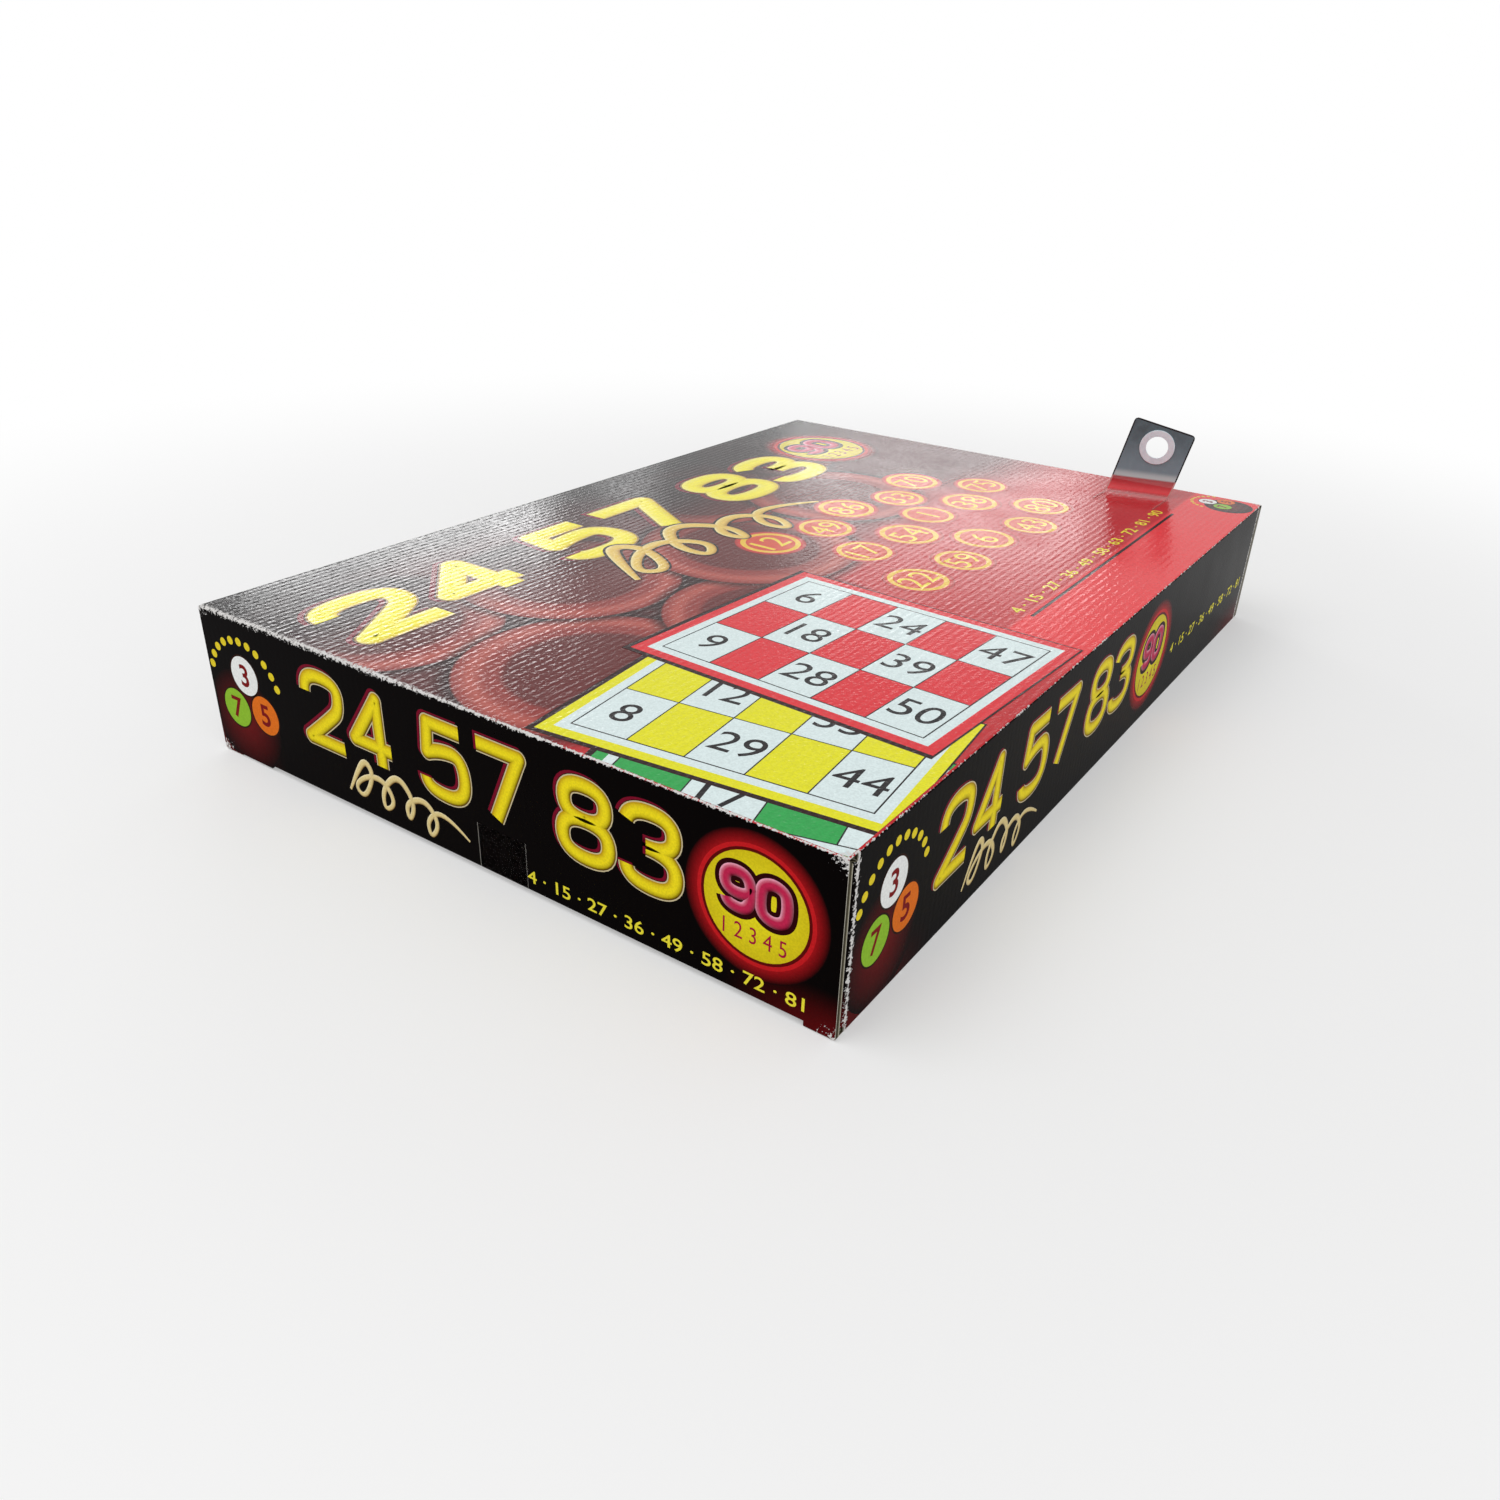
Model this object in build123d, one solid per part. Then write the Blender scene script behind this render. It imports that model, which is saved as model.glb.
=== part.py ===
from build123d import *
import math
import os

# A boxed bingo game: a tuck-end carton of microflute board with a clear hang tab on its lid,
# and the cards, the calling board and the bag of wooden numbers inside it.
# +X runs along the carton's short edge, +Y along its long edge, away from the end with the tape.
# The origin is at the centre of the carton's underside. Every piece is placed where it lies.

# Carton, measured outside
CARTON_WIDTH = 230.0
CARTON_LENGTH = 335.0
CARTON_HEIGHT = 49.5
BOARD = 1.8
EDGE_ROUND = 0.7
FOLD_GAP = 0.3
MITRE_DEG = 45.0
MITRE_CLEAR_DEG = 2.0
OVERRUN = 5.0

# Closure panels and their tuck tongues
SHOULDER_WIDTH = 8.6
SHOULDER_LIFT = 0.3
TONGUE_LIFT = 0.1
TONGUE_LENGTH = 18.0
TONGUE_CORNER = 11.0
TONGUE_SIDE_GAP = 0.4
TONGUE_SLOPE_DEG = 12.0

# Dust flaps
DUST_LENGTH = 56.0
DUST_ROOT = 3.5
DUST_TONGUE_CLEARANCE = 0.6
DUST_TOP_TAPER_DEG = 8.0
DUST_CORNER = 6.0

# Glue flap inside the left side panel
GLUE_FLAP_HEIGHT = 22.0
GLUE_FLAP_END_GAP = 6.0

# Clear tape over the mouth of the front closure
TAPE_WIDTH = 18.0
TAPE_THICKNESS = 0.1
TAPE_CENTRE_X = 10.5
TAPE_TOP = 16.0
TAPE_UNDER_LENGTH = 20.0

# Hang tab: a clear strip bent upright near the rear edge of the lid
TAB_WIDTH = 25.4
TAB_THICKNESS = 0.5
TAB_BEND_RADIUS = 6.3
TAB_FOOT_LENGTH = 14.0
TAB_LENGTH = 33.1
TAB_CORNER = 1.6
TAB_FROM_RIGHT = 45.9
TAB_FROM_REAR = 24.6
TAB_TURN_DEG = 11.9
TAB_SKEW_DEG = 12.1
HANG_HOLE_RADIUS = 4.4
HANG_HOLE_ALONG = 24.2
EYELET_RADIUS = 7.0
EYELET_WALL = 0.6
EYELET_STAND = 0.5
EYELET_ROUND = 0.2

# Contents: how they lie in the carton, from which their plan sizes come
END_SPACE = 28.0
REAR_SPARE = 15.0
CARD_SIDE_SPACE = 15.0
BOARD_SIDE_SPACE = 12.0
BAG_SIDE_SPACE = 16.0
PILE_GAP = 1.0
LAY_GAP = 0.3

# Cards, in two stacks
CARD_THICKNESS = 1.2
CARD_CORNER = 3.0
CARD_AIR = 0.05
CARDS_PER_COLOUR = 8
FRONT_STACK_COLOURS = ("green", "yellow", "red")
REAR_STACK_COLOURS = ("blue", "orange", "violet")

# Calling board and rules leaflet, on the cards
BOARD_THICKNESS = 2.4
BOARD_CORNER = 5.0
LEAFLET_LENGTH = 148.0
LEAFLET_DEPTH = 105.0
LEAFLET_THICKNESS = 0.3

# Wooden numbers, in layers, and the cloth bag round them
DISC_THICKNESS = 6.0
DISC_ROUND = 0.6
DISC_SIDE_GAP = 0.6
DISC_LAYER_GAP = 0.2
DISC_COLUMNS = 10
DISC_ROWS = 3
DISC_LAYERS = 3
BAG_END_SLACK = 6.0
BAG_SIDE_SLACK = 8.1
BAG_TOP_SLACK = 3.9
BAG_CLOTH = 0.6
BAG_CORNER = 9.0
BAG_EDGE = 4.0

HALF_WIDTH = CARTON_WIDTH / 2
HALF_LENGTH = CARTON_LENGTH / 2
INNER_TOP = CARTON_HEIGHT - BOARD
# A side panel folds into its dust flap behind the closure panel.
CREASE_DEPTH = BOARD + FOLD_GAP + BOARD
CREASE_Y = HALF_LENGTH - CREASE_DEPTH
CREASE_X = HALF_WIDTH - BOARD
BOTTOM_END_Y = HALF_LENGTH - BOARD - FOLD_GAP
TONGUE_FOLD_Z = BOARD + TONGUE_LIFT
TONGUE_HALF_WIDTH = HALF_WIDTH - SHOULDER_WIDTH
TONGUE_RISE = TONGUE_LENGTH * math.sin(math.radians(TONGUE_SLOPE_DEG))
DUST_FREE_LOW = TONGUE_FOLD_Z + TONGUE_RISE + BOARD + DUST_TONGUE_CLEARANCE

TAB_HALF = TAB_WIDTH / 2
TAB_BEND_HALF = TAB_HALF / math.cos(math.radians(TAB_SKEW_DEG))
TAB_BEND_RUN = TAB_BEND_RADIUS * math.pi / 2
TAB_BEND_SHIFT = TAB_BEND_RUN * math.tan(math.radians(TAB_SKEW_DEG))

BAG_LENGTH = CARTON_WIDTH - 2 * BAG_SIDE_SPACE
DISC_PITCH = (BAG_LENGTH - 2 * BAG_END_SLACK) / DISC_COLUMNS
DISC_DIAMETER = DISC_PITCH - DISC_SIDE_GAP
DISC_LAYER_PITCH = DISC_THICKNESS + DISC_LAYER_GAP
BAG_DEPTH = DISC_ROWS * DISC_PITCH + 2 * BAG_SIDE_SLACK
BAG_HEIGHT = 2 * BAG_CLOTH + LAY_GAP + DISC_LAYERS * DISC_LAYER_PITCH + BAG_TOP_SLACK
BAG_CENTRE_Y = -HALF_LENGTH + END_SPACE + BAG_DEPTH / 2

# The two stacks share the length that the bag and the spaces at the ends leave.
CARD_LENGTH = CARTON_WIDTH - 2 * CARD_SIDE_SPACE
CARD_DEPTH = (CARTON_LENGTH - 2 * END_SPACE - REAR_SPARE - BAG_DEPTH - 2 * PILE_GAP) / 2
CARD_PITCH = CARD_THICKNESS + CARD_AIR
FRONT_STACK_Y = BAG_CENTRE_Y + BAG_DEPTH / 2 + PILE_GAP + CARD_DEPTH / 2
REAR_STACK_Y = FRONT_STACK_Y + CARD_DEPTH + PILE_GAP
STACK_HEIGHT = CARD_PITCH * CARDS_PER_COLOUR * len(FRONT_STACK_COLOURS)

BOARD_LENGTH = CARTON_WIDTH - 2 * BOARD_SIDE_SPACE
BOARD_DEPTH = 2 * CARD_DEPTH + PILE_GAP
BOARD_Z = BOARD + LAY_GAP + STACK_HEIGHT + LAY_GAP


def tangent(degrees):
    return math.tan(math.radians(degrees))


def box_between(low, high):
    size = Vector(*high) - Vector(*low)
    centre = Vector(*low) + size / 2
    return Pos(centre.X, centre.Y, centre.Z) * Box(size.X, size.Y, size.Z)


def prism_along_y(points, low_y, high_y):
    """A prism whose section is given as x, z points."""
    section = Plane((0, high_y, 0), x_dir=(1, 0, 0), z_dir=(0, -1, 0)) * Polygon(*points, align=None)
    return extrude(section, high_y - low_y, dir=(0, -1, 0))


def prism_along_x(points, low_x, high_x):
    """A prism whose section is given as y, z points."""
    section = Plane((low_x, 0, 0), x_dir=(0, 1, 0), z_dir=(1, 0, 0)) * Polygon(*points, align=None)
    return extrude(section, high_x - low_x, dir=(1, 0, 0))


def carton_block():
    """The closed carton as one block with its outer creases rounded."""
    middle = CARTON_HEIGHT / 2
    across = Plane((0, HALF_LENGTH, middle), x_dir=(1, 0, 0), z_dir=(0, -1, 0))
    along = Plane((-HALF_WIDTH, 0, middle), x_dir=(0, 1, 0), z_dir=(1, 0, 0))
    sleeve = extrude(across * RectangleRounded(CARTON_WIDTH, CARTON_HEIGHT, EDGE_ROUND), CARTON_LENGTH)
    ends = extrude(along * RectangleRounded(CARTON_LENGTH, CARTON_HEIGHT, EDGE_ROUND), CARTON_WIDTH)
    return sleeve & ends


def rear_of(shape):
    """The same shape at the rear end."""
    return mirror(shape, Plane.XZ)


def left_of(shape):
    """The same shape on the left side."""
    return mirror(shape, Plane.YZ)


def top_panel(block):
    out_x = HALF_WIDTH + OVERRUN
    out_y = HALF_LENGTH + OVERRUN
    over = CARTON_HEIGHT + OVERRUN
    in_x = HALF_WIDTH - BOARD
    in_y = HALF_LENGTH - BOARD
    across = [(-out_x, over), (out_x, over), (in_x, INNER_TOP), (-in_x, INNER_TOP)]
    along = [(-out_y, over), (out_y, over), (in_y, INNER_TOP), (-in_y, INNER_TOP)]
    return block & prism_along_y(across, -out_y, out_y) & prism_along_x(along, -out_x, out_x)


def tape_centre_box(low_y, high_y, low_z, high_z):
    """The stretch of a box that lies under the tape's width."""
    half = TAPE_WIDTH / 2
    return box_between((TAPE_CENTRE_X - half, low_y, low_z), (TAPE_CENTRE_X + half, high_y, high_z))


def tape_under():
    """The tape's leg under the carton, pressed in flush with the board."""
    return tape_centre_box(-BOTTOM_END_Y, -BOTTOM_END_Y + TAPE_UNDER_LENGTH, 0, TAPE_THICKNESS)


def tape_face():
    """The tape's leg on the front closure, slit along the fold from the one under it."""
    low = TONGUE_FOLD_Z + TAPE_THICKNESS
    return tape_centre_box(-HALF_LENGTH, -HALF_LENGTH + TAPE_THICKNESS, low, TAPE_TOP)


def bottom_panel(block):
    out_x = HALF_WIDTH + OVERRUN
    in_x = HALF_WIDTH - BOARD
    across = [(-out_x, -OVERRUN), (out_x, -OVERRUN), (in_x, BOARD), (-in_x, BOARD)]
    return (block & prism_along_y(across, -BOTTOM_END_Y, BOTTOM_END_Y)) - tape_under()


def right_side_panel(block):
    out_x = HALF_WIDTH + OVERRUN
    in_x = HALF_WIDTH - BOARD
    over = CARTON_HEIGHT + OVERRUN
    across = [(in_x, BOARD), (out_x, -OVERRUN), (out_x, over), (in_x, INNER_TOP)]
    return block & prism_along_y(across, -CREASE_Y, CREASE_Y)


def glue_flap():
    """The joint of the blank, glued up the inner face of the left side panel."""
    half = CREASE_Y - GLUE_FLAP_END_GAP
    top = BOARD + GLUE_FLAP_HEIGHT
    short = half - GLUE_FLAP_HEIGHT
    outline = [(-half, BOARD), (half, BOARD), (short, top), (-short, top)]
    return prism_along_x(outline, -CREASE_X, -CREASE_X + BOARD)


def front_closure(block):
    """The end panel, hinged on the lid. Its lower edge has a shoulder beside each end of the tongue."""
    inner_y = -HALF_LENGTH + BOARD
    mitre_depth = BOARD * tangent(MITRE_DEG + MITRE_CLEAR_DEG)
    outline = [
        (-HALF_LENGTH, SHOULDER_LIFT),
        (inner_y, SHOULDER_LIFT),
        (inner_y, CARTON_HEIGHT - mitre_depth),
        (-HALF_LENGTH, CARTON_HEIGHT),
    ]
    panel = block & prism_along_x(outline, -HALF_WIDTH, HALF_WIDTH)
    fold_cut = [
        (-HALF_LENGTH - OVERRUN, TONGUE_FOLD_Z - OVERRUN),
        (inner_y + OVERRUN, TONGUE_FOLD_Z - OVERRUN),
        (inner_y + OVERRUN, TONGUE_FOLD_Z + BOARD + OVERRUN),
    ]
    return panel - prism_along_x(fold_cut, -TONGUE_HALF_WIDTH, TONGUE_HALF_WIDTH)


def front_tongue():
    """The tuck tongue, sprung up from its fold so that its end swings out clear of the bottom."""
    half = TONGUE_HALF_WIDTH - TONGUE_SIDE_GAP
    plan = Rectangle(2 * half, 2 * TONGUE_LENGTH)
    plan = fillet(plan.vertices(), TONGUE_CORNER)
    sheet = extrude(plan, BOARD)
    mitre_run = BOARD / tangent(MITRE_DEG - TONGUE_SLOPE_DEG - MITRE_CLEAR_DEG)
    side = [(0, 0), (TONGUE_LENGTH, 0), (TONGUE_LENGTH, BOARD), (mitre_run, BOARD)]
    tongue = sheet & prism_along_x(side, -half, half)
    return Pos(0, -HALF_LENGTH, TONGUE_FOLD_Z) * Rot(X=TONGUE_SLOPE_DEG) * tongue


def front_right_dust_flap():
    """A dust flap that folds in from the side panel, with its lower edge cut up over the tongue."""
    low = BOARD + FOLD_GAP
    high = INNER_TOP - FOLD_GAP
    root_x = CREASE_X - DUST_ROOT
    free_x = CREASE_X - DUST_LENGTH
    free_top = high - (root_x - free_x) * tangent(DUST_TOP_TAPER_DEG)
    outline = Polygon(
        (CREASE_X, low),
        (CREASE_X, high),
        (root_x, high),
        (free_x, free_top),
        (free_x, DUST_FREE_LOW),
        (root_x - (DUST_FREE_LOW - low), DUST_FREE_LOW),
        (root_x, low),
        align=None,
    )
    free_corners = [v for v in outline.vertices() if abs(v.X - free_x) < DUST_CORNER]
    outline = fillet(free_corners, DUST_CORNER)
    face = Plane((0, -CREASE_Y, 0), x_dir=(1, 0, 0), z_dir=(0, -1, 0)) * outline
    flap = extrude(face, BOARD, dir=(0, -1, 0))
    bend = Pos(CREASE_X, -CREASE_Y, (low + high) / 2) * Cylinder(BOARD, high - low)
    quarter = box_between((CREASE_X, -CREASE_Y - BOARD, low), (HALF_WIDTH, -CREASE_Y, high))
    return flap + (bend & quarter)


def tab_place():
    foot = Pos(HALF_WIDTH - TAB_FROM_RIGHT, HALF_LENGTH - TAB_FROM_REAR, CARTON_HEIGHT)
    return foot * Rot(Z=TAB_TURN_DEG)


def strip_point(along, across):
    """A point of the unrolled strip: its distance along the bend line, and past the bend's start."""
    skew = math.radians(TAB_SKEW_DEG)
    side = along * math.sin(skew) + across * math.cos(skew)
    past = along * math.cos(skew) - across * math.sin(skew)
    return side, past


def tab_foot():
    """The end of the strip that is stuck flat on the lid."""
    near = [strip_point(-TAB_FOOT_LENGTH, side) for side in (-TAB_HALF, TAB_HALF)]
    outline = Polygon(*near, (TAB_BEND_HALF, 0), (-TAB_BEND_HALF, 0), align=None)
    return tab_place() * extrude(outline, TAB_THICKNESS, dir=(0, 0, 1))


def tab_bend():
    """A quarter turn of the strip, with its sides slanted as the strip is."""
    reach = CARTON_WIDTH
    hoop = Cylinder(TAB_BEND_RADIUS, 2 * reach) - Cylinder(TAB_BEND_RADIUS - TAB_THICKNESS, 2 * reach)
    hoop = Pos(0, 0, TAB_BEND_RADIUS) * Rot(Y=90) * hoop
    rise = math.hypot(TAB_BEND_RADIUS, TAB_BEND_RADIUS)
    slant = Plane((0, 0, 0), x_dir=(1, 0, 0), z_dir=(0, -1, 1))
    outline = Polygon(
        (-TAB_BEND_HALF, 0),
        (TAB_BEND_HALF, 0),
        (TAB_BEND_HALF + TAB_BEND_SHIFT, rise),
        (-TAB_BEND_HALF + TAB_BEND_SHIFT, rise),
        align=None,
    )
    trim = extrude(slant * outline, TAB_BEND_RADIUS, both=True)
    quarter = box_between((-reach, 0, 0), (reach, TAB_BEND_RADIUS, TAB_BEND_RADIUS))
    return tab_place() * (hoop & quarter & trim)


def upright_point(along, across):
    side, past = strip_point(along, across)
    return side, TAB_BEND_RADIUS + past - TAB_BEND_RUN


def hang_hole_centre():
    side, height = upright_point(HANG_HOLE_ALONG, 0)
    return Pos(side, TAB_BEND_RADIUS, height) * Rot(X=90)


def tab_header():
    """The upright end of the strip, with the hole that its eyelet sits in."""
    corners = [upright_point(TAB_LENGTH, side) for side in (TAB_HALF, -TAB_HALF)]
    outline = Polygon(
        (-TAB_BEND_HALF + TAB_BEND_SHIFT, TAB_BEND_RADIUS),
        (TAB_BEND_HALF + TAB_BEND_SHIFT, TAB_BEND_RADIUS),
        *corners,
        align=None,
    )
    outline = fillet(outline.vertices().sort_by(Axis.Y)[-2:], TAB_CORNER)
    upright = Plane((0, TAB_BEND_RADIUS, 0), x_dir=(1, 0, 0), z_dir=(0, -1, 0))
    sheet = extrude(upright * outline, TAB_THICKNESS, dir=(0, -1, 0))
    hole = hang_hole_centre() * Cylinder(HANG_HOLE_RADIUS + EYELET_WALL, 2 * OVERRUN)
    return tab_place() * (sheet - hole)


def hang_eyelet():
    """A ring through the header, with a flange on the front."""
    depth = TAB_THICKNESS + EYELET_STAND
    up = (Align.CENTER, Align.CENTER, Align.MIN)
    sleeve = Cylinder(HANG_HOLE_RADIUS + EYELET_WALL, depth, align=up)
    flange = Pos(0, 0, TAB_THICKNESS) * Cylinder(EYELET_RADIUS, EYELET_STAND, align=up)
    flange = fillet(flange.edges().sort_by(Axis.Z)[-1], EYELET_ROUND)
    ring = sleeve + flange - Cylinder(HANG_HOLE_RADIUS, depth, align=up)
    return tab_place() * hang_hole_centre() * ring


def colour_pack(centre_y, place_in_stack):
    """The cards of one colour, each its own solid, at their place in a stack."""
    low = BOARD + LAY_GAP + place_in_stack * CARDS_PER_COLOUR * CARD_PITCH
    card = extrude(RectangleRounded(CARD_LENGTH, CARD_DEPTH, CARD_CORNER), CARD_THICKNESS)
    return Compound([Pos(0, centre_y, low + i * CARD_PITCH) * card for i in range(CARDS_PER_COLOUR)])


def calling_board():
    sheet = extrude(RectangleRounded(BOARD_LENGTH, BOARD_DEPTH, BOARD_CORNER), BOARD_THICKNESS)
    return Pos(0, (FRONT_STACK_Y + REAR_STACK_Y) / 2, BOARD_Z) * sheet


def rules_leaflet():
    sheet = extrude(Rectangle(LEAFLET_LENGTH, LEAFLET_DEPTH), LEAFLET_THICKNESS)
    return Pos(0, (FRONT_STACK_Y + REAR_STACK_Y) / 2, BOARD_Z + BOARD_THICKNESS) * sheet


def number_discs():
    """The wooden numbers, each its own solid, in flat layers."""
    disc = Cylinder(DISC_DIAMETER / 2, DISC_THICKNESS, align=(Align.CENTER, Align.CENTER, Align.MIN))
    disc = fillet(disc.edges().filter_by(GeomType.CIRCLE), DISC_ROUND)
    low = BOARD + LAY_GAP + BAG_CLOTH + LAY_GAP
    discs = []
    for layer in range(DISC_LAYERS):
        for row in range(DISC_ROWS):
            for column in range(DISC_COLUMNS):
                x = (column - (DISC_COLUMNS - 1) / 2) * DISC_PITCH
                y = BAG_CENTRE_Y + (row - (DISC_ROWS - 1) / 2) * DISC_PITCH
                z = low + layer * DISC_LAYER_PITCH
                discs.append(Pos(x, y, z) * disc)
    return Compound(discs)


def pillow(inset):
    """A soft-edged block of the bag's size, made smaller by inset on every side."""
    plan = RectangleRounded(BAG_LENGTH - 2 * inset, BAG_DEPTH - 2 * inset, BAG_CORNER - inset)
    block = extrude(plan, BAG_HEIGHT - 2 * inset)
    rims = block.faces().filter_by(Axis.Z).edges()
    return Pos(0, BAG_CENTRE_Y, BOARD + LAY_GAP + inset) * fillet(rims, BAG_EDGE - inset)


def bag_cloths():
    """The bag's lower and upper cloth, which meet in a seam at half its height."""
    cloth = pillow(0) - pillow(BAG_CLOTH)
    seam_z = BOARD + LAY_GAP + BAG_HEIGHT / 2
    reach_x = BAG_LENGTH
    near_y = BAG_CENTRE_Y - BAG_DEPTH
    far_y = BAG_CENTRE_Y + BAG_DEPTH
    lower_half = box_between((-reach_x, near_y, seam_z - BAG_HEIGHT), (reach_x, far_y, seam_z))
    upper_half = box_between((-reach_x, near_y, seam_z), (reach_x, far_y, seam_z + BAG_HEIGHT))
    return cloth & lower_half, cloth & upper_half


def carton_parts():
    block = carton_block()
    right_side = right_side_panel(block)
    closure = front_closure(block)
    tongue = front_tongue()
    dust_flap = front_right_dust_flap()
    return {
        "top_panel": top_panel(block),
        "bottom_panel": bottom_panel(block),
        "right_side_panel": right_side,
        "left_side_panel": left_of(right_side),
        "glue_flap": glue_flap(),
        "front_closure_panel": closure - tape_face(),
        "front_tuck_tongue": tongue,
        "front_right_dust_flap": dust_flap,
        "front_left_dust_flap": left_of(dust_flap),
        "rear_closure_panel": rear_of(closure),
        "rear_tuck_tongue": rear_of(tongue),
        "rear_right_dust_flap": rear_of(dust_flap),
        "rear_left_dust_flap": left_of(rear_of(dust_flap)),
        "seal_tape_face": tape_face(),
        "seal_tape_under": tape_under(),
    }


def tab_parts():
    return {
        "hang_tab_foot": tab_foot(),
        "hang_tab_bend": tab_bend(),
        "hang_tab_header": tab_header(),
        "hang_hole_eyelet": hang_eyelet(),
    }


def content_parts():
    parts = {}
    for centre_y, colours in ((FRONT_STACK_Y, FRONT_STACK_COLOURS), (REAR_STACK_Y, REAR_STACK_COLOURS)):
        for place_in_stack, colour in enumerate(colours):
            parts["cards_" + colour] = colour_pack(centre_y, place_in_stack)
    parts["calling_board"] = calling_board()
    parts["rules_leaflet"] = rules_leaflet()
    parts["number_discs"] = number_discs()
    parts["bag_lower_cloth"], parts["bag_upper_cloth"] = bag_cloths()
    return parts


os.makedirs("parts", exist_ok=True)
for name, shape in {**carton_parts(), **tab_parts(), **content_parts()}.items():
    export_step(shape, f"parts/{name}.step")
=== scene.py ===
import math

import bmesh
import bpy
from mathutils import Matrix, Vector


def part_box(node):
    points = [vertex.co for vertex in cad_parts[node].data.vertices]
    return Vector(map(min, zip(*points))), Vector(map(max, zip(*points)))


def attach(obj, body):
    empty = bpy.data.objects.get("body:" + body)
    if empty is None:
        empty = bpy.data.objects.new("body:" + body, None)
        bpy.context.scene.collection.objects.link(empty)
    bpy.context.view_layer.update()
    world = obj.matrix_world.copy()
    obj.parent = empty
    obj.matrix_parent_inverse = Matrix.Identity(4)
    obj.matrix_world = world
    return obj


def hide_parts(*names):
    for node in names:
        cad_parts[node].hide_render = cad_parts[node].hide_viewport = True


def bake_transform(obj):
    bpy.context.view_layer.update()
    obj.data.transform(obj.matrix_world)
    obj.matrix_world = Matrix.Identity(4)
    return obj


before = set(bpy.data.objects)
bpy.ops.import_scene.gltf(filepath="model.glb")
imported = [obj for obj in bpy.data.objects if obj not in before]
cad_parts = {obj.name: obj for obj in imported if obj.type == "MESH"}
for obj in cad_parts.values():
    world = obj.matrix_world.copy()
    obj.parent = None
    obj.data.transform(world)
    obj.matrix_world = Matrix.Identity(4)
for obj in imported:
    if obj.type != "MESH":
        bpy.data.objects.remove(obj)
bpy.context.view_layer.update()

MM = 0.001

# The carton, in mm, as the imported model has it
HALF_X, HALF_Y, TOP = 115.0, 167.5, 49.5
BOARD = 1.8
LINER = 0.25
CREASE_Y = 163.6
DUST_FOLD_Y = 163.3
FLUTE_PITCH = 2.6
TONGUE_SLOPE = math.radians(12)
TONGUE_FOLD_Z = 1.9
TAPE_X, TAPE_WIDTH = 10.5, 18.0

# The wooden numbers, in mm: their columns, rows and layers, and the radii and height of what is burnt in
DISC_WIDTH, DISC_HEIGHT, DISC_ROUND = 18.0, 6.0, 0.6
DISC_COLUMNS, DISC_ROWS, DISC_LAYERS = 10, 3, 3
BURNT_RING, BURNT_FIGURE, BURNT = (6.9, 7.3), 6.5, "#2a1710"

# The bag, in mm: how far its cloth sags between the discs, its seam, and the cloth's start before filling
CLOTH_SAG = 1.7
SEAM_WIDTH, SEAM_BEND = 1.4, 9.0
CLOTH_INSET, CLOTH_LIFT, CLOTH_DROP = 3.5, 0.6, 3.6
FILLING_FRAMES = 20

# The gloss film: its specular level, and how far the flutes and the film's own unevenness stand up, in mm
LID_FILM = (0.1, 0.034, 0.035)
WALL_FILM = (0.012, 0.004, 0.02)

# Where the folds are rubbed white: the axes that count, the fold's place, and the rub's width, in mm;
# then the rub along the near fold, whose white is partly painted highlight for glints, and the reach of a
# corner's rub
WORN_EDGES = (
    ((1, 0, 1), (HALF_X, 0, TOP), 0.24),
    ((1, 0, 1), (HALF_X, 0, 0), 0.25),
    ((0, 1, 1), (0, HALF_Y, 0), 0.3),
    ((1, 1, 0), (HALF_X, DUST_FOLD_Y, 0), 0.6),
)
FRONT_RUB_AND_GLINT = 0.3
CORNER_RUB = 2.2

# The large soft discs printed on the lid's ground: centre and radius, in mm
SOFT_DISCS = (
    ((-62, -142), 37), ((12, -128), 41), ((-46, -78), 38), ((26, -62), 36),
    ((-18, -14), 39), ((-66, 22), 33), ((-30, 62), 36), ((-84, 96), 30),
)

# Each printed figure has a layer of ink this thick on those under it, and its relief takes a share of that
INK_LAYER = 0.006
INK_RELIEF = 0.7
EDGE_MARGIN = 0.8

# What is printed, and the inks of the gold figures (crown, dark side, light side, rim) and the flourishes
TITLE = "24 57 83"
WALL_ROW = "4 · 15 · 27 · 36 · 49 · 58 · 72 · 81"
LID_ROW = "4 · 15 · 27 · 36 · 49 · 58 · 63 · 72 · 81 · 90"
WALL_GOLD = ("#f4df20", "#5c4203", "#c9a01c", "#cfc19a")
LID_GOLD = ("#fbef3a", "#e3c722", "#fbf37e", "#9a7840")
WALL_PEN = ("#e6d091", "#8a6a33", "#f6e9bd")
LID_PEN = ("#e9c765", "#b98a3c", "#f7e6a8")
BLACK_INK = "#060303"

# The numbered discs printed on the lid: place along and across the title, and radius, in mm
LID_DISCS = (
    (-6, 14, 11), (22, 8, 10), (49, 15, 11), (76, 6, 10), (102, 14, 11),
    (8, -17, 10), (36, -20, 11), (63, -14, 10), (90, -19, 11), (116, -12, 10),
    (-6, -46, 10.5), (22, -49, 10), (50, -44, 11), (77, -51, 10), (104, -44, 11),
)

# Where a wall's figures go, in mm from the middle of its lower edge: title and row are (place, width)
END_LAYOUT = {"title": ((1, 30.5), 141), "flourish_at": (-27, 11.5), "badge_at": (92, 27.5),
              "row": ((63, 6.4), 87), "balls_at": (-97, 25)}
SIDE_LAYOUT = {"title": ((-52, 29), 141), "flourish_at": (-79, 10.5), "badge_at": (40, 25),
               "row": ((111, 19), 93), "balls_at": (-145, 26)}

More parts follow.
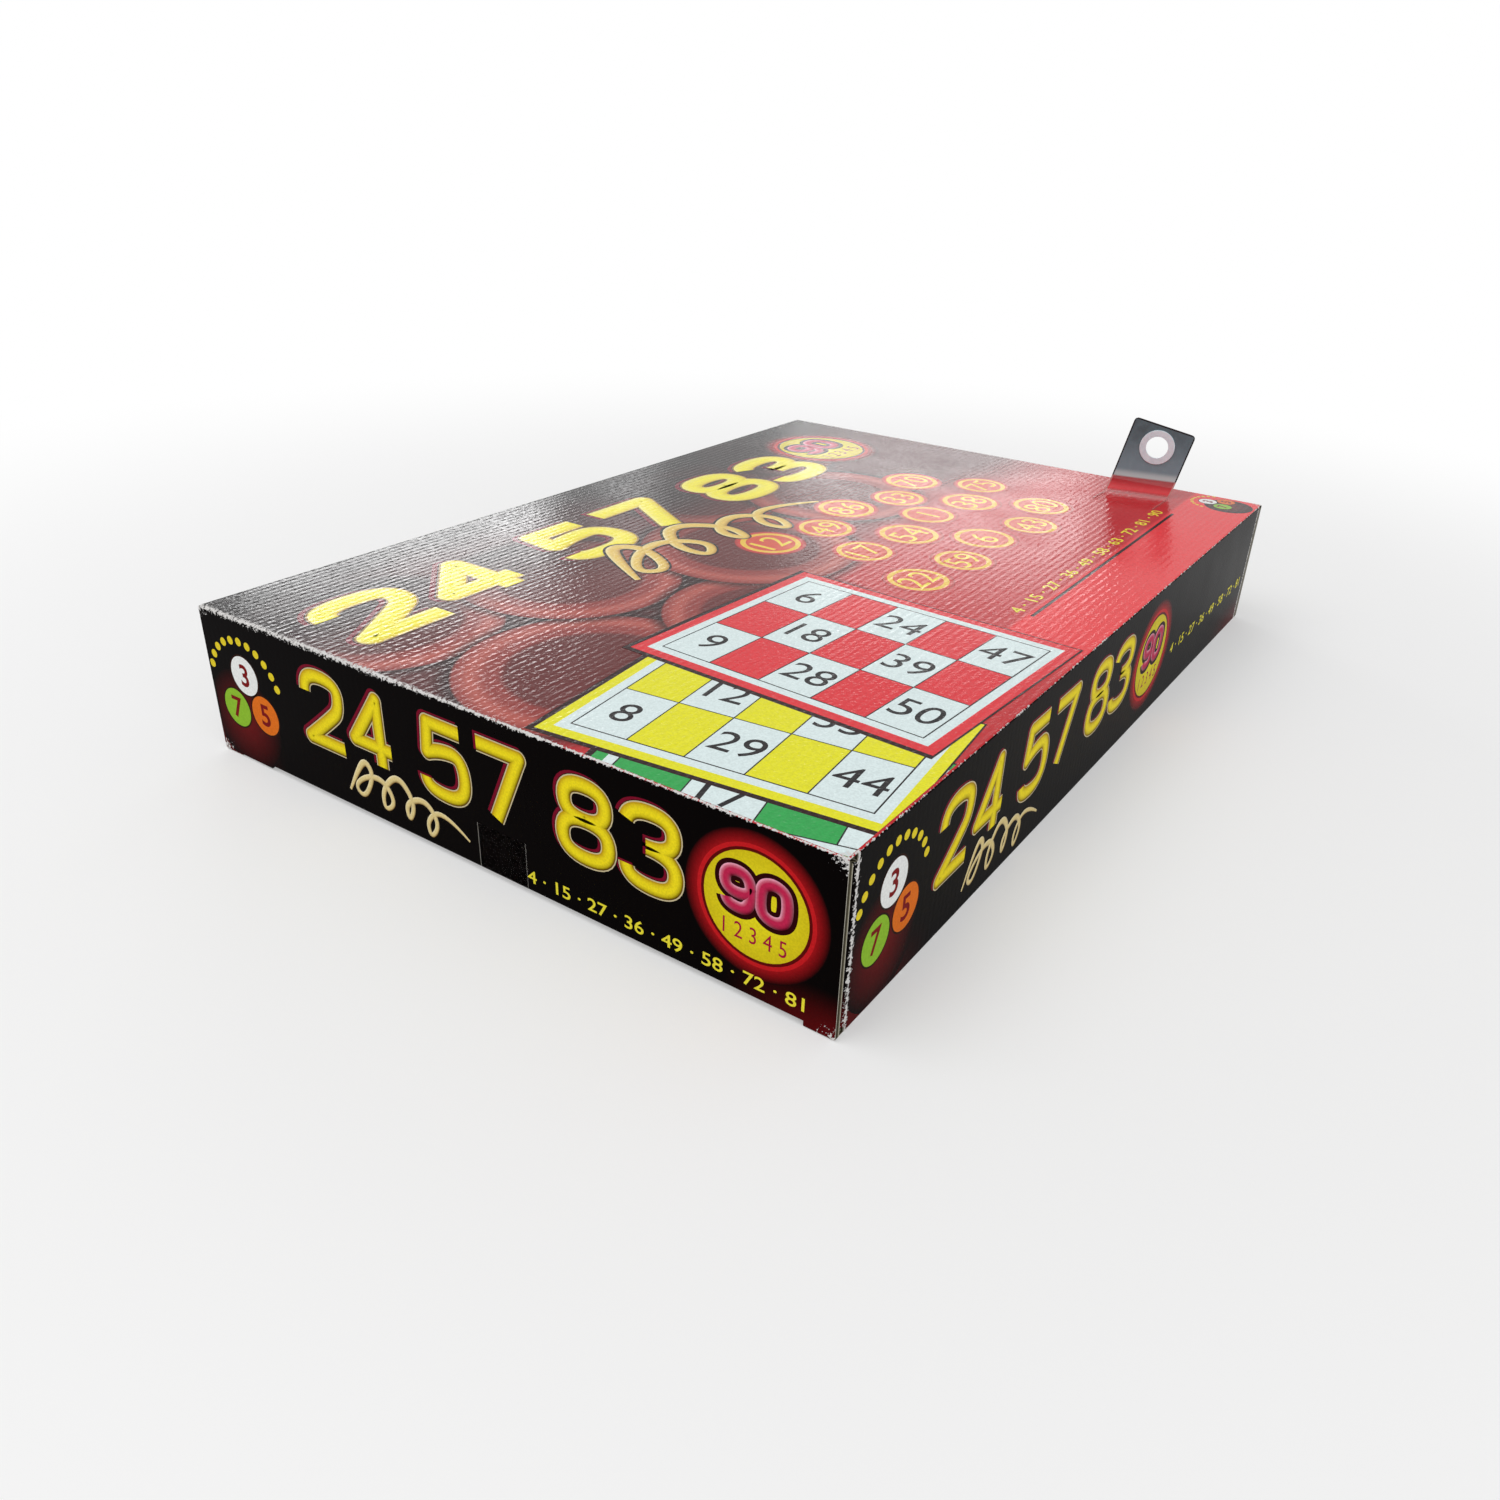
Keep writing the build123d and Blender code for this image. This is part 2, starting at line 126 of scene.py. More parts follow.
# The hang strip, in mm: its parts, and where its fold lies on the lid
TAB = {"width": 25.4, "thickness": 0.5, "bend": 6.3, "foot": 14.0, "length": 33.1, "corner": 1.6,
       "hole_along": 24.2, "hole": 5.0, "skew": math.radians(12.1)}
TAB_AT, TAB_TURN = (69.1, 142.9, TOP), math.radians(11.9)
TAB_PLACE = Matrix.Translation(TAB_AT) @ Matrix.Rotation(TAB_TURN, 4, "Z")

# The camera, as the photograph's seven corners give it: place in mm, and turns in degrees
CAMERA_AT = (212.43, -350.18, 185.03)
CAMERA_AZIMUTH, CAMERA_DOWN, CAMERA_ROLL = 34.023, 28.176, 1.923
LENS = 28.36
SENSOR = 36.0

# The lamps: name, place and size in metres, and power in watts; the windows show as glare in the lid's film
LAMPS = (
    ("key", (-0.5, -0.7, 1.5), (1.2, 1.2), 10),
    ("fill", (1.3, -0.7, 0.7), (1.0, 1.0), 4),
    ("window_left", (-1.64, 1.1, 0.6), (0.62, 0.24), 4.0),
    ("window_gap", (-1.33, 1.45, 0.57), (0.12, 0.18), 0.16),
    ("window_back", (-0.8, 1.78, 0.6), (0.6, 0.2), 1.5),
)
WORLD_LIGHT = 0.55

# The floor: its side in metres, and where it turns to the backdrop's white, in mm from the object's middle
FLOOR_SIDE = 12
FLOOR_FADE = (230.0, 620.0)

# Settings that many shader nodes share
RGBA = {"data_type": "RGBA"}
SMOOTH = {"interpolation_type": "SMOOTHSTEP"}


def hex_colour(code):
    """An sRGB hex code as a linear colour."""
    parts = [int(code[i:i + 2], 16) / 255 for i in (1, 3, 5)]
    return (*[p / 12.92 if p <= 0.04045 else ((p + 0.055) / 1.055) ** 2.4 for p in parts], 1.0)


def add(tree, kind, *inputs, out=None, named=None, **settings):
    """Adds a shader node with its settings, fills its inputs with values, hex codes or links, and gives one
    output."""
    node = tree.nodes.new("ShaderNode" + kind)
    for name, value in settings.items():
        setattr(node, name, value)
    sockets = [*zip([s for s in node.inputs if s.enabled], inputs)]
    sockets += [(node.inputs[name], value) for name, value in (named or {}).items()]
    for socket, value in sockets:
        if isinstance(value, bpy.types.NodeSocket):
            tree.links.new(value, socket)
        else:
            socket.default_value = hex_colour(value) if isinstance(value, str) else value
    return node.outputs[out] if out else next((s for s in node.outputs if s.enabled), None)


def empty_material(name):
    material = bpy.data.materials.new(name)
    material.use_nodes = True
    material.node_tree.nodes.clear()
    return material, material.node_tree


def place_mm(tree):
    """The place on the piece, in millimetres."""
    return add(tree, "VectorMath", add(tree, "TexCoord", out="Object"), 1 / MM, operation="SCALE")


def crease_wear_and_glint(tree, mm):
    """How far the print has rubbed off, 0 to 1: on the folds, most at the front left and the corners, where
    the near fold's white is partly painted glint.
    """
    folded = add(tree, "VectorMath", mm, operation="ABSOLUTE")
    x = add(tree, "SeparateXYZ", mm, out="X")
    y = add(tree, "SeparateXYZ", mm, out="Y")
    at_front = add(tree, "MapRange", y, -150.0, -160.0, **SMOOTH)
    to_left = add(tree, "MapRange", x, 60.0, -100.0, 0.0, 0.5, **SMOOTH)
    # The near top fold's white line, widest at the left, is partly painted highlight: glints along the fold
    front_rub_and_glint_width = add(tree, "Math", at_front, to_left, FRONT_RUB_AND_GLINT, operation="MULTIPLY_ADD")
    rubbed = None
    for keep, edge, width in (((0, 1, 1), (0, HALF_Y - 0.4, TOP), front_rub_and_glint_width), *WORN_EDGES):
        flat = add(tree, "VectorMath", folded, keep, operation="MULTIPLY")
        distance = add(tree, "VectorMath", flat, edge, operation="DISTANCE")
        share = add(tree, "Math", distance, width, operation="DIVIDE")
        rubbed = share if rubbed is None else add(tree, "Math", rubbed, share, operation="MINIMUM")
    for height in (0.0, TOP):
        distance = add(tree, "VectorMath", folded, (HALF_X, HALF_Y, height), operation="DISTANCE")
        share = add(tree, "Math", distance, CORNER_RUB, operation="DIVIDE")
        rubbed = add(tree, "Math", rubbed, share, operation="MINIMUM")
    # Torn fibres 0.9 mm long fray the rub's edge, and it comes and goes in patches 9 mm across
    fray = add(tree, "TexNoise", mm, 1 / 0.9, 3.0, 0.7)
    ragged = add(tree, "Math", fray, 8.0, -4.0, operation="MULTIPLY_ADD")
    patches = add(tree, "TexNoise", mm, 1 / 9.0, 2.0)
    patchy = add(tree, "Math", patches, 1.8, -0.9, operation="MULTIPLY_ADD")
    level = add(tree, "Math", add(tree, "Math", rubbed, ragged), patchy)
    return add(tree, "MapRange", level, 1.1, 0.75, **SMOOTH)


def film_relief(tree, mm, flute_axis, film, worn_and_glint):
    """The film's surface: the flutes show through it in dashes, over a peel, and rubbed paper is hairy."""
    # The flutes drift over 30 mm and break into dashes 1.7 mm long; the peel is 1.3 mm wide, a hair 0.25 mm
    across = add(tree, "SeparateXYZ", mm, out=flute_axis)
    drift = add(tree, "Math", add(tree, "TexNoise", mm, 1 / 30.0, 2.0), 4.0, operation="MULTIPLY")
    phase = add(tree, "Math", across, 2 * math.pi / FLUTE_PITCH, drift, operation="MULTIPLY_ADD")
    flutes = add(tree, "Math", phase, operation="SINE")
    dashes = add(tree, "TexNoise", mm, 1 / 1.7, 1.0)
    dashes = add(tree, "MapRange", dashes, 0.46, 0.58, 0.12, 1.0, **SMOOTH)
    flutes = add(tree, "Math", flutes, dashes, operation="MULTIPLY")
    peel = add(tree, "Math", add(tree, "TexNoise", mm, 1 / 1.3, 2.0), film[2], operation="MULTIPLY")
    hairs = add(tree, "Math", add(tree, "TexNoise", mm, 1 / 0.25, 4.0, 0.7), worn_and_glint, operation="MULTIPLY")
    height = add(tree, "Math", flutes, film[1], peel, operation="MULTIPLY_ADD")
    height = add(tree, "Math", hairs, 0.12, height, operation="MULTIPLY_ADD")
    return add(tree, "Bump", named={"Distance": MM, "Height": height})


def laminate(material, tree, colour, mm, flute_axis, film, worn_and_glint):
    """Ink under gloss film, rubbed to white paper where the folds wear; that white is partly painted
    highlight, for glints.
    """
    # Paper fibres 0.4 mm long, ink mottled every 0.6 mm as coarse litho is, and scuffs 26 mm across
    fibres = add(tree, "TexNoise", mm, 1 / 0.4, 4.0)
    # The rubbed paper's light end is pure white, partly as painted highlight for glints on the folds
    paper = add(tree, "Mix", fibres, "#b5afa9", "#ffffff", **RGBA)
    mottle = add(tree, "TexNoise", mm, 1 / 0.6, 3.0)
    mottle = add(tree, "MapRange", mottle, 0.3, 0.7, 0.92, 1.06, **SMOOTH)
    inked = add(tree, "VectorMath", colour, mottle, operation="SCALE")
    scuffs = add(tree, "TexNoise", mm, 1 / 26.0, 3.0)
    scuffs = add(tree, "MapRange", scuffs, 0.3, 0.75, 0.13, 0.22, **SMOOTH)
    shader = add(tree, "BsdfPrincipled", named={
        "Base Color": add(tree, "Mix", worn_and_glint, inked, paper, **RGBA),
        "Roughness": add(tree, "Mix", worn_and_glint, scuffs, 0.85),
        "Normal": film_relief(tree, mm, flute_axis, film, worn_and_glint),
        "Specular IOR Level": film[0],
    })
    add(tree, "OutputMaterial", shader)
    return material


def fluted_core(tree, mm, flute_axis, outward, face_at, fibres):
    """The board's cut edge: two pale liners, and the flutes' paper winding between gaps painted dark as
    their shade.
    """
    through = add(tree, "VectorMath", mm, outward, operation="DOT_PRODUCT")
    depth = add(tree, "Math", face_at, through, operation="SUBTRACT")
    along = add(tree, "SeparateXYZ", mm, out=flute_axis)
    turns = add(tree, "Math", along, 2 * math.pi / FLUTE_PITCH, operation="MULTIPLY")
    wave = add(tree, "Math", turns, operation="SINE")
    flute_at = add(tree, "Math", wave, BOARD / 2 - LINER - 0.15, BOARD / 2, operation="MULTIPLY_ADD")
    from_flute = add(tree, "Math", depth, flute_at, operation="SUBTRACT")
    from_flute = add(tree, "Math", from_flute, operation="ABSOLUTE")
    from_middle = add(tree, "Math", depth, BOARD / 2, operation="SUBTRACT")
    from_middle = add(tree, "Math", from_middle, operation="ABSOLUTE")
    liner_from = BOARD / 2 - LINER
    in_flute = add(tree, "MapRange", from_flute, 0.24, 0.14, **SMOOTH)
    in_liner = add(tree, "MapRange", from_middle, liner_from - 0.05, liner_from + 0.05, **SMOOTH)
    # The gaps between the flutes get painted shade: a dark colour where there is only shadow
    painted_gap_shade = add(tree, "Mix", fibres, "#2f2b20", "#4c4736", **RGBA)
    flute = add(tree, "Mix", fibres, "#6b6650", "#98927a", **RGBA)
    liner = add(tree, "Mix", fibres, "#a8a294", "#cfcabd", **RGBA)
    return add(tree, "Mix", in_liner, add(tree, "Mix", in_flute, painted_gap_shade, flute, **RGBA), liner, **RGBA)


def panel_material(name, printed_towards, outward, face_at, flute_axis, ground, film):
    """Microflute board, litho printed and gloss laminated: deep ink under a film that shows the flutes, a
    grey liner with fibres 0.5 mm long inside, and the fluted core on its cut edges."""
    material, tree = empty_material(name)
    mm = place_mm(tree)
    normal = add(tree, "TexCoord", out="Normal")
    facing = add(tree, "VectorMath", normal, printed_towards, operation="DOT_PRODUCT")
    fibres = add(tree, "TexNoise", mm, 1 / 0.5, 4.0, 0.7)
    liner = add(tree, "Mix", fibres, "#8d877a", "#a9a293", **RGBA)
    core = fluted_core(tree, mm, flute_axis, outward, face_at, fibres)
    bare = add(tree, "Mix", add(tree, "MapRange", facing, -0.74, -0.76, **SMOOTH), core, liner, **RGBA)
    outside = add(tree, "MapRange", facing, 0.3, 0.34, **SMOOTH)
    colour = add(tree, "Mix", outside, bare, ground(tree, mm), **RGBA)
    worn_and_glint = add(tree, "Math", crease_wear_and_glint(tree, mm), outside, operation="MULTIPLY")
    return laminate(material, tree, colour, mm, flute_axis, film, worn_and_glint)


def lid_ground(tree, mm):
    """The lid's ink: black at the left, through dark red with large soft discs, to a bright red band."""
    x = add(tree, "SeparateXYZ", mm, out="X")
    y = add(tree, "SeparateXYZ", mm, out="Y")
    across = add(tree, "Math", add(tree, "TexNoise", mm, 1 / 60.0, 2.0), 50.0, x, operation="MULTIPLY_ADD")
    to_dark = add(tree, "MapRange", across, -85.0, -25.0, **SMOOTH)
    colour = add(tree, "Mix", to_dark, "#100708", "#541517", **RGBA)
    to_red = add(tree, "MapRange", across, 12.0, 62.0, **SMOOTH)
    colour = add(tree, "Mix", to_red, colour, "#c42b31", **RGBA)
    flat = add(tree, "VectorMath", mm, (1, 1, 0), operation="MULTIPLY")
    for centre, radius in SOFT_DISCS:
        distance = add(tree, "VectorMath", flat, (*centre, 0), operation="DISTANCE")
        share = add(tree, "Math", distance, radius, operation="DIVIDE")
        shade = add(tree, "MapRange", share, 1.16, 0.98, 0.0, 0.85, **SMOOTH)
        body = add(tree, "MapRange", share, 1.0, 0.97, 0.0, 0.8, **SMOOTH)
        rim = add(tree, "MapRange", share, 0.62, 0.7, **SMOOTH)
        crest = add(tree, "Math", share, 0.86, operation="SUBTRACT")
        crest = add(tree, "Math", crest, operation="ABSOLUTE")
        crest = add(tree, "MapRange", crest, 0.12, 0.0, **SMOOTH)
        tone = add(tree, "Mix", rim, "#6c2625", "#a03f3a", **RGBA)
        tone = add(tree, "Mix", crest, tone, "#c56055", **RGBA)
        lit = add(tree, "MapRange", x, -80.0, -30.0, **SMOOTH)
        tone = add(tree, "Mix", lit, "#1d0c0d", tone, **RGBA)
        colour = add(tree, "Mix", shade, colour, "#1d090a", **RGBA)
        colour = add(tree, "Mix", body, colour, tone, **RGBA)
    along = add(tree, "MapRange", y, -60.0, -20.0, **SMOOTH)
    band = add(tree, "Math", add(tree, "MapRange", x, 87.0, 89.0, **SMOOTH), along, operation="MULTIPLY")
    return add(tree, "Mix", band, colour, "#ee3a40", **RGBA)


def wall_ground(tree, mm):
    """The walls' ink: black, with a dark red bloom low at the upright corners."""
    folded = add(tree, "VectorMath", mm, operation="ABSOLUTE")
    low = add(tree, "MapRange", add(tree, "SeparateXYZ", mm, out="Z"), 14.0, 0.0, 0.0, 0.5, **SMOOTH)
    far = add(tree, "MapRange", add(tree, "SeparateXYZ", folded, out="X"), 82.0, HALF_X, **SMOOTH)
    along = add(tree, "MapRange", add(tree, "SeparateXYZ", folded, out="Y"), 120.0, HALF_Y, **SMOOTH)
    bloom = add(tree, "Math", far, along, operation="MULTIPLY")
    bloom = add(tree, "Math", bloom, low, operation="MULTIPLY")
    return add(tree, "Mix", bloom, BLACK_INK, "#7d1216", **RGBA)


def ink_material(flute_axis, film):
    """Solid litho ink under the same gloss film; each figure's colour is painted on its own faces."""
    material, tree = empty_material(f"litho_ink_gloss_film_{flute_axis.lower()}_{film[0]}")
    mm = place_mm(tree)
    ink = add(tree, "Attribute", attribute_name="ink", out="Color")
    return laminate(material, tree, ink, mm, flute_axis, film, crease_wear_and_glint(tree, mm))


def printed_card(name, code, cell_mm):
    """Solid bleached card, printed matt and die cut: ruled cells, some white and some in the card's colour,
    over fibres 0.3 to 0.8 mm long."""
    material, tree = empty_material(name)
    mm = place_mm(tree)
    x = add(tree, "SeparateXYZ", mm, out="X")
    y = add(tree, "SeparateXYZ", mm, out="Y")
    line_x = add(tree, "Math", x, cell_mm / 2, operation="PINGPONG")
    line_y = add(tree, "Math", y, cell_mm / 2, operation="PINGPONG")
    from_line = add(tree, "Math", line_x, line_y, operation="MINIMUM")
    ruled = add(tree, "MapRange", from_line, 0.35, 0.2, **SMOOTH)
    cell = add(tree, "VectorMath", mm, 1 / cell_mm, operation="SCALE")
    cell = add(tree, "VectorMath", cell, operation="FLOOR")
    pick = add(tree, "TexWhiteNoise", cell, noise_dimensions="2D")
    pick = add(tree, "Math", pick, 0.5, operation="GREATER_THAN")
    face = add(tree, "Mix", pick, "#e9ebe6", code, **RGBA)
    face = add(tree, "Mix", ruled, face, "#2a2624", **RGBA)
    pulp = add(tree, "TexNoise", mm, 1 / 0.5, 4.0)
    edge = add(tree, "Mix", pulp, "#8f8a80", "#c8c2b4", **RGBA)
    upwards = add(tree, "SeparateXYZ", add(tree, "TexCoord", out="Normal"), out="Z")
    facing = add(tree, "Math", upwards, operation="ABSOLUTE")
    colour = add(tree, "Mix", add(tree, "MapRange", facing, 0.4, 0.6, **SMOOTH), edge, face, **RGBA)
    mottle = add(tree, "MapRange", add(tree, "TexNoise", mm, 1 / 0.8), 0.3, 0.7, 0.94, 1.04, **SMOOTH)
    height = add(tree, "Math", add(tree, "TexNoise", mm, 1 / 0.3, 4.0), 0.01, operation="MULTIPLY")
    shader = add(tree, "BsdfPrincipled", named={
        "Base Color": add(tree, "VectorMath", colour, mottle, operation="SCALE"),
        "Roughness": 0.62,
        "Normal": add(tree, "Bump", named={"Distance": MM, "Height": height}),
        "Specular IOR Level": 0.35,
    })
    add(tree, "OutputMaterial", shader)
    return material


def pulp_sheet(name, dark, light, grain_mm, roughness, relief_mm):
    """Pulp board or paper, pressed: fibres of a given size in a dull, slightly uneven face."""
    material, tree = empty_material(name)
    fibres = add(tree, "TexNoise", place_mm(tree), 1 / grain_mm, 5.0, 0.7)
    height = add(tree, "Math", fibres, relief_mm, operation="MULTIPLY")
    shader = add(tree, "BsdfPrincipled", named={
        "Base Color": add(tree, "Mix", fibres, dark, light, **RGBA),
        "Roughness": roughness,
        "Normal": add(tree, "Bump", named={"Distance": MM, "Height": height}),
        "Specular IOR Level": 0.25,
    })
    add(tree, "OutputMaterial", shader)
    return material


def sawn_birch():
    """Birch dowel, sawn in slices and tumbled: pale, with wavy year rings and pores of 0.35 mm."""
    material, tree = empty_material("birch_sawn_and_tumbled")
    mm = place_mm(tree)
    stretched = add(tree, "VectorMath", mm, (1, 0.25, 0.25), operation="MULTIPLY")
    years = add(tree, "Math", add(tree, "TexNoise", stretched, 1 / 12.0, 2.0), 40.0, operation="MULTIPLY")
    pores = add(tree, "TexNoise", mm, 1 / 0.35, 3.0)
    years = add(tree, "Math", years, operation="SINE")
    tone = add(tree, "Math", years, 0.2, pores, operation="MULTIPLY_ADD")
    share = add(tree, "MapRange", tone, 0.2, 0.9, **SMOOTH)
    height = add(tree, "Math", tone, 0.02, operation="MULTIPLY")
    shader = add(tree, "BsdfPrincipled", named={
        "Base Color": add(tree, "Mix", share, "#b98d58", "#e2c391", **RGBA),
        "Roughness": 0.58,
        "Normal": add(tree, "Bump", named={"Distance": MM, "Height": height}),
        "Specular IOR Level": 0.3,
    })
    add(tree, "OutputMaterial", shader)
    return material


def woven_cotton():
    """Cotton in plain weave, dyed red, a little uneven every 18 mm. Its threads are 0.9 mm apart, twice as
    coarse as real ones so that they show."""
    material, tree = empty_material("cotton_plain_weave_dyed")
    mm = place_mm(tree)
    turns = add(tree, "VectorMath", mm, 2 * math.pi / 0.9, operation="SCALE")
    waves = add(tree, "VectorMath", turns, operation="SINE")
    warp = add(tree, "SeparateXYZ", waves, out="X")
    weft = add(tree, "SeparateXYZ", waves, out="Y")
    upright = add(tree, "SeparateXYZ", waves, out="Z")
    weft = add(tree, "Math", weft, upright, operation="MAXIMUM")
    weave = add(tree, "Math", warp, weft, operation="MULTIPLY")
    shade = add(tree, "TexNoise", mm, 1 / 18.0, 3.0)
    tone = add(tree, "Math", weave, 0.25, shade, operation="MULTIPLY_ADD")
    share = add(tree, "MapRange", tone, 0.1, 0.9, **SMOOTH)
    height = add(tree, "Math", weave, 0.06, operation="MULTIPLY")
    shader = add(tree, "BsdfPrincipled", named={
        "Base Color": add(tree, "Mix", share, "#83131d", "#a4202c", **RGBA),
        "Roughness": 0.9,
        "Normal": add(tree, "Bump", named={"Distance": MM, "Height": height}),
        "Sheen Weight": 0.3,
    })
    add(tree, "OutputMaterial", shader)
    return material


def tape_film():
    """Polypropylene packing tape, cast and slit: a thin clear film with air trapped in spots of 2.5 mm, and
    pale cut sides."""
    material, tree = empty_material("polypropylene_tape_film")
    mm = place_mm(tree)
    air = add(tree, "TexNoise", mm, 1 / 2.5, 3.0)
    off_middle = add(tree, "Math", add(tree, "SeparateXYZ", mm, out="X"), TAPE_X, operation="SUBTRACT")
    off_middle = add(tree, "Math", off_middle, operation="ABSOLUTE")
    side = add(tree, "MapRange", off_middle, TAPE_WIDTH / 2 - 0.45, TAPE_WIDTH / 2 - 0.2, **SMOOTH)
    film = add(tree, "Mix", air, "#0c0a0a", "#2b2826", **RGBA)
    shader = add(tree, "BsdfPrincipled", named={
        "Base Color": add(tree, "Mix", side, film, "#d8d5cf", **RGBA),
        "Roughness": add(tree, "MapRange", air, 0.3, 0.7, 0.16, 0.24, **SMOOTH),
        "Alpha": add(tree, "MapRange", side, 0.0, 1.0, 0.06, 0.16),
        "Specular IOR Level": 0.03,
    })
    add(tree, "OutputMaterial", shader)
    return material


def clear_strip_painted_light():
    """Polycarbonate strip, die cut: clear where it is stuck down, painted grey shade where it stands up with
    a painted highlight band towards the fold, the lid's red print painted on the bend as seen through it,
    painted dark lines along the cut edges, and a haze in clouds of 3 mm. Places along it are in mm past the
    fold, on the strip laid flat."""
    material, tree = empty_material("polycarbonate_strip_die_cut")
    mm = place_mm(tree)
    flat = add(tree, "Attribute", attribute_name="flat_mm", out="Vector")
    off_middle = add(tree, "Math", add(tree, "SeparateXYZ", flat, out="Y"), operation="ABSOLUTE")
    along = add(tree, "SeparateXYZ", flat, out="X")
    off_end = add(tree, "Math", TAB["length"], along, operation="SUBTRACT")
    off_side = add(tree, "Math", TAB["width"] / 2, off_middle, operation="SUBTRACT")
    from_cut = add(tree, "Math", off_side, off_end, operation="MINIMUM")
    cut = add(tree, "MapRange", from_cut, 0.7, 0.4, **SMOOTH)
    along_fold = (math.cos(TAB["skew"]), -math.sin(TAB["skew"]), 0)
    past = add(tree, "VectorMath", flat, along_fold, operation="DOT_PRODUCT")
    upright = add(tree, "MapRange", past, 9.8, 10.6, **SMOOTH)
    haze = add(tree, "TexNoise", mm, 1 / 3.0, 3.0)
    # Where the strip stands up its grey is painted shade: the dark seen through the clear sheet
    painted_header_shade = add(tree, "Mix", haze, "#465256", "#667a82", **RGBA)
    # Lighter towards the fold, with a pale band just above it: painted highlight
    painted_highlight_rise = add(tree, "MapRange", past, 31.6, 12.6, 0.0, 0.7, **SMOOTH)
    painted_header_shade = add(tree, "Mix", painted_highlight_rise, painted_header_shade, "#8aa4ae", **RGBA)
    band = add(tree, "MapRange", past, 13.8, 11.1, 0.0, 0.8, **SMOOTH)
    painted_header_shade = add(tree, "Mix", band, painted_header_shade, "#c6dcdc", **RGBA)
    # On the bend, the lid's red print seen through the clear sheet is painted in as a see-through image,
    # darker towards the top
    painted_red_fade = add(tree, "MapRange", past, 9.6, 4.4, **SMOOTH)
    clear = add(tree, "Mix", painted_red_fade, "#b01e27", "#e0444a", **RGBA)
    colour = add(tree, "Mix", upright, clear, painted_header_shade, **RGBA)
    bent = add(tree, "MapRange", past, 2.6, 4.6, 0.05, 0.75, **SMOOTH)
    alpha = add(tree, "Mix", upright, bent, 0.96)
    at_cut = add(tree, "Math", cut, 0.4, operation="MULTIPLY")
    alpha = add(tree, "Math", alpha, at_cut, operation="MAXIMUM")
    # Lines along the cut edges: dark painted shade where the strip stands up, pale red on the bend for the
    # print seen through it
    edge = add(tree, "Mix", upright, "#c98a86", "#1b191b", **RGBA)
    shader = add(tree, "BsdfPrincipled", named={
        "Base Color": add(tree, "Mix", cut, colour, edge, **RGBA),
        "Roughness": add(tree, "MapRange", haze, 0.3, 0.7, 0.14, 0.3, **SMOOTH),
        "Alpha": alpha,
        "Specular IOR Level": 0.12,
    })
    add(tree, "OutputMaterial", shader)
    return material


def moulded_ring():
    """Polyethylene eyelet, injection moulded: milky white, softly glossy, with clouds 2 mm across."""
    material, tree = empty_material("polyethylene_moulded")
    mm = place_mm(tree)
    cloud = add(tree, "TexNoise", mm, 1 / 2.0, 3.0)
    height = add(tree, "Math", add(tree, "TexNoise", mm, 1 / 0.5), 0.01, operation="MULTIPLY")
    shader = add(tree, "BsdfPrincipled", named={
        "Base Color": add(tree, "Mix", cloud, "#c0ced8", "#e6f2f9", **RGBA),
        "Roughness": 0.3,
        "Normal": add(tree, "Bump", named={"Distance": MM, "Height": height}),
    })
    add(tree, "OutputMaterial", shader)
    return material


# Pen strokes of the drawn figures in a unit box, as (closed, points), and the corners where strokes meet;
# a word gap and the space between two figures, as shares of a figure's width
GAP_WIDTH, FIGURE_SPACE = 0.2, 0.36
FIGURE_STROKES = {
    " ": ([], []),
    "0": ([(True, [(0.3, 1), (0.7, 1), (1, 0.82), (1, 0.18), (0.7, 0), (0.3, 0), (0, 0.18), (0, 0.82)])],
          []),
    "2": ([(False, [(0.02, 0.72), (0.02, 1), (0.98, 1), (0.98, 0.6), (0.7, 0.4), (0, 0)]),
           (False, [(0, 0), (1, 0)])], [(0, 0)]),
    "3": ([(False, [(0.02, 0.82), (0.1, 1), (0.96, 1), (0.96, 0.53), (0.4, 0.53)]),
           (False, [(0.4, 0.53), (1, 0.53), (1, 0), (0, 0), (0, 0.2)])], []),
    "4": ([(False, [(0.72, 1), (0, 0.28)]), (False, [(0, 0.28), (1, 0.28)]),
           (False, [(0.72, 1), (0.72, 0)])], [(0, 0.28), (0.72, 1), (0.72, 0.28)]),
    "5": ([(False, [(0.94, 1), (0.14, 1)]), (False, [(0.14, 1), (0.08, 0.56)]),
           (False, [(0.08, 0.56), (0.4, 0.66), (1, 0.66), (1, 0), (0, 0), (0, 0.18)])],
          [(0.14, 1), (0.08, 0.56)]),
    "7": ([(False, [(0, 1), (1, 1)]), (False, [(1, 1), (0.38, 0)])], [(1, 1)]),
    "8": ([(True, [(0.06, 1), (0.94, 1), (0.94, 0.53), (0.06, 0.53)]),
           (True, [(0, 0.53), (1, 0.53), (1, 0), (0, 0)])], []),
    "9": ([(False, [(0.06, 0.18), (0.1, 0), (1, 0), (1, 1), (0, 1), (0, 0.4), (1, 0.4), (1, 0.66)])], []),
}

# A looping flourish: x, y and the pen's relative width
FLOURISH = (
    (0, 1, 0.5), (4, 8, 1), (8, 13, 1.3), (11, 9, 1), (6, 0, 0.9), (2, 3, 0.8), (8, 8, 1),
    (15, 9, 1.2), (19, 3, 0.9), (14, -1, 0.8), (14, 6, 1), (21, 13, 1.3), (27, 6, 1), (24, -1, 0.8),
    (23, 5, 1), (31, 9, 1.2), (36, 3, 0.9), (32, -3, 0.8), (31, 3, 0.9), (38, 8, 1), (47, 2, 0.4),
)
FLOURISH_LENGTH, FLOURISH_MIDDLE = 47, 5


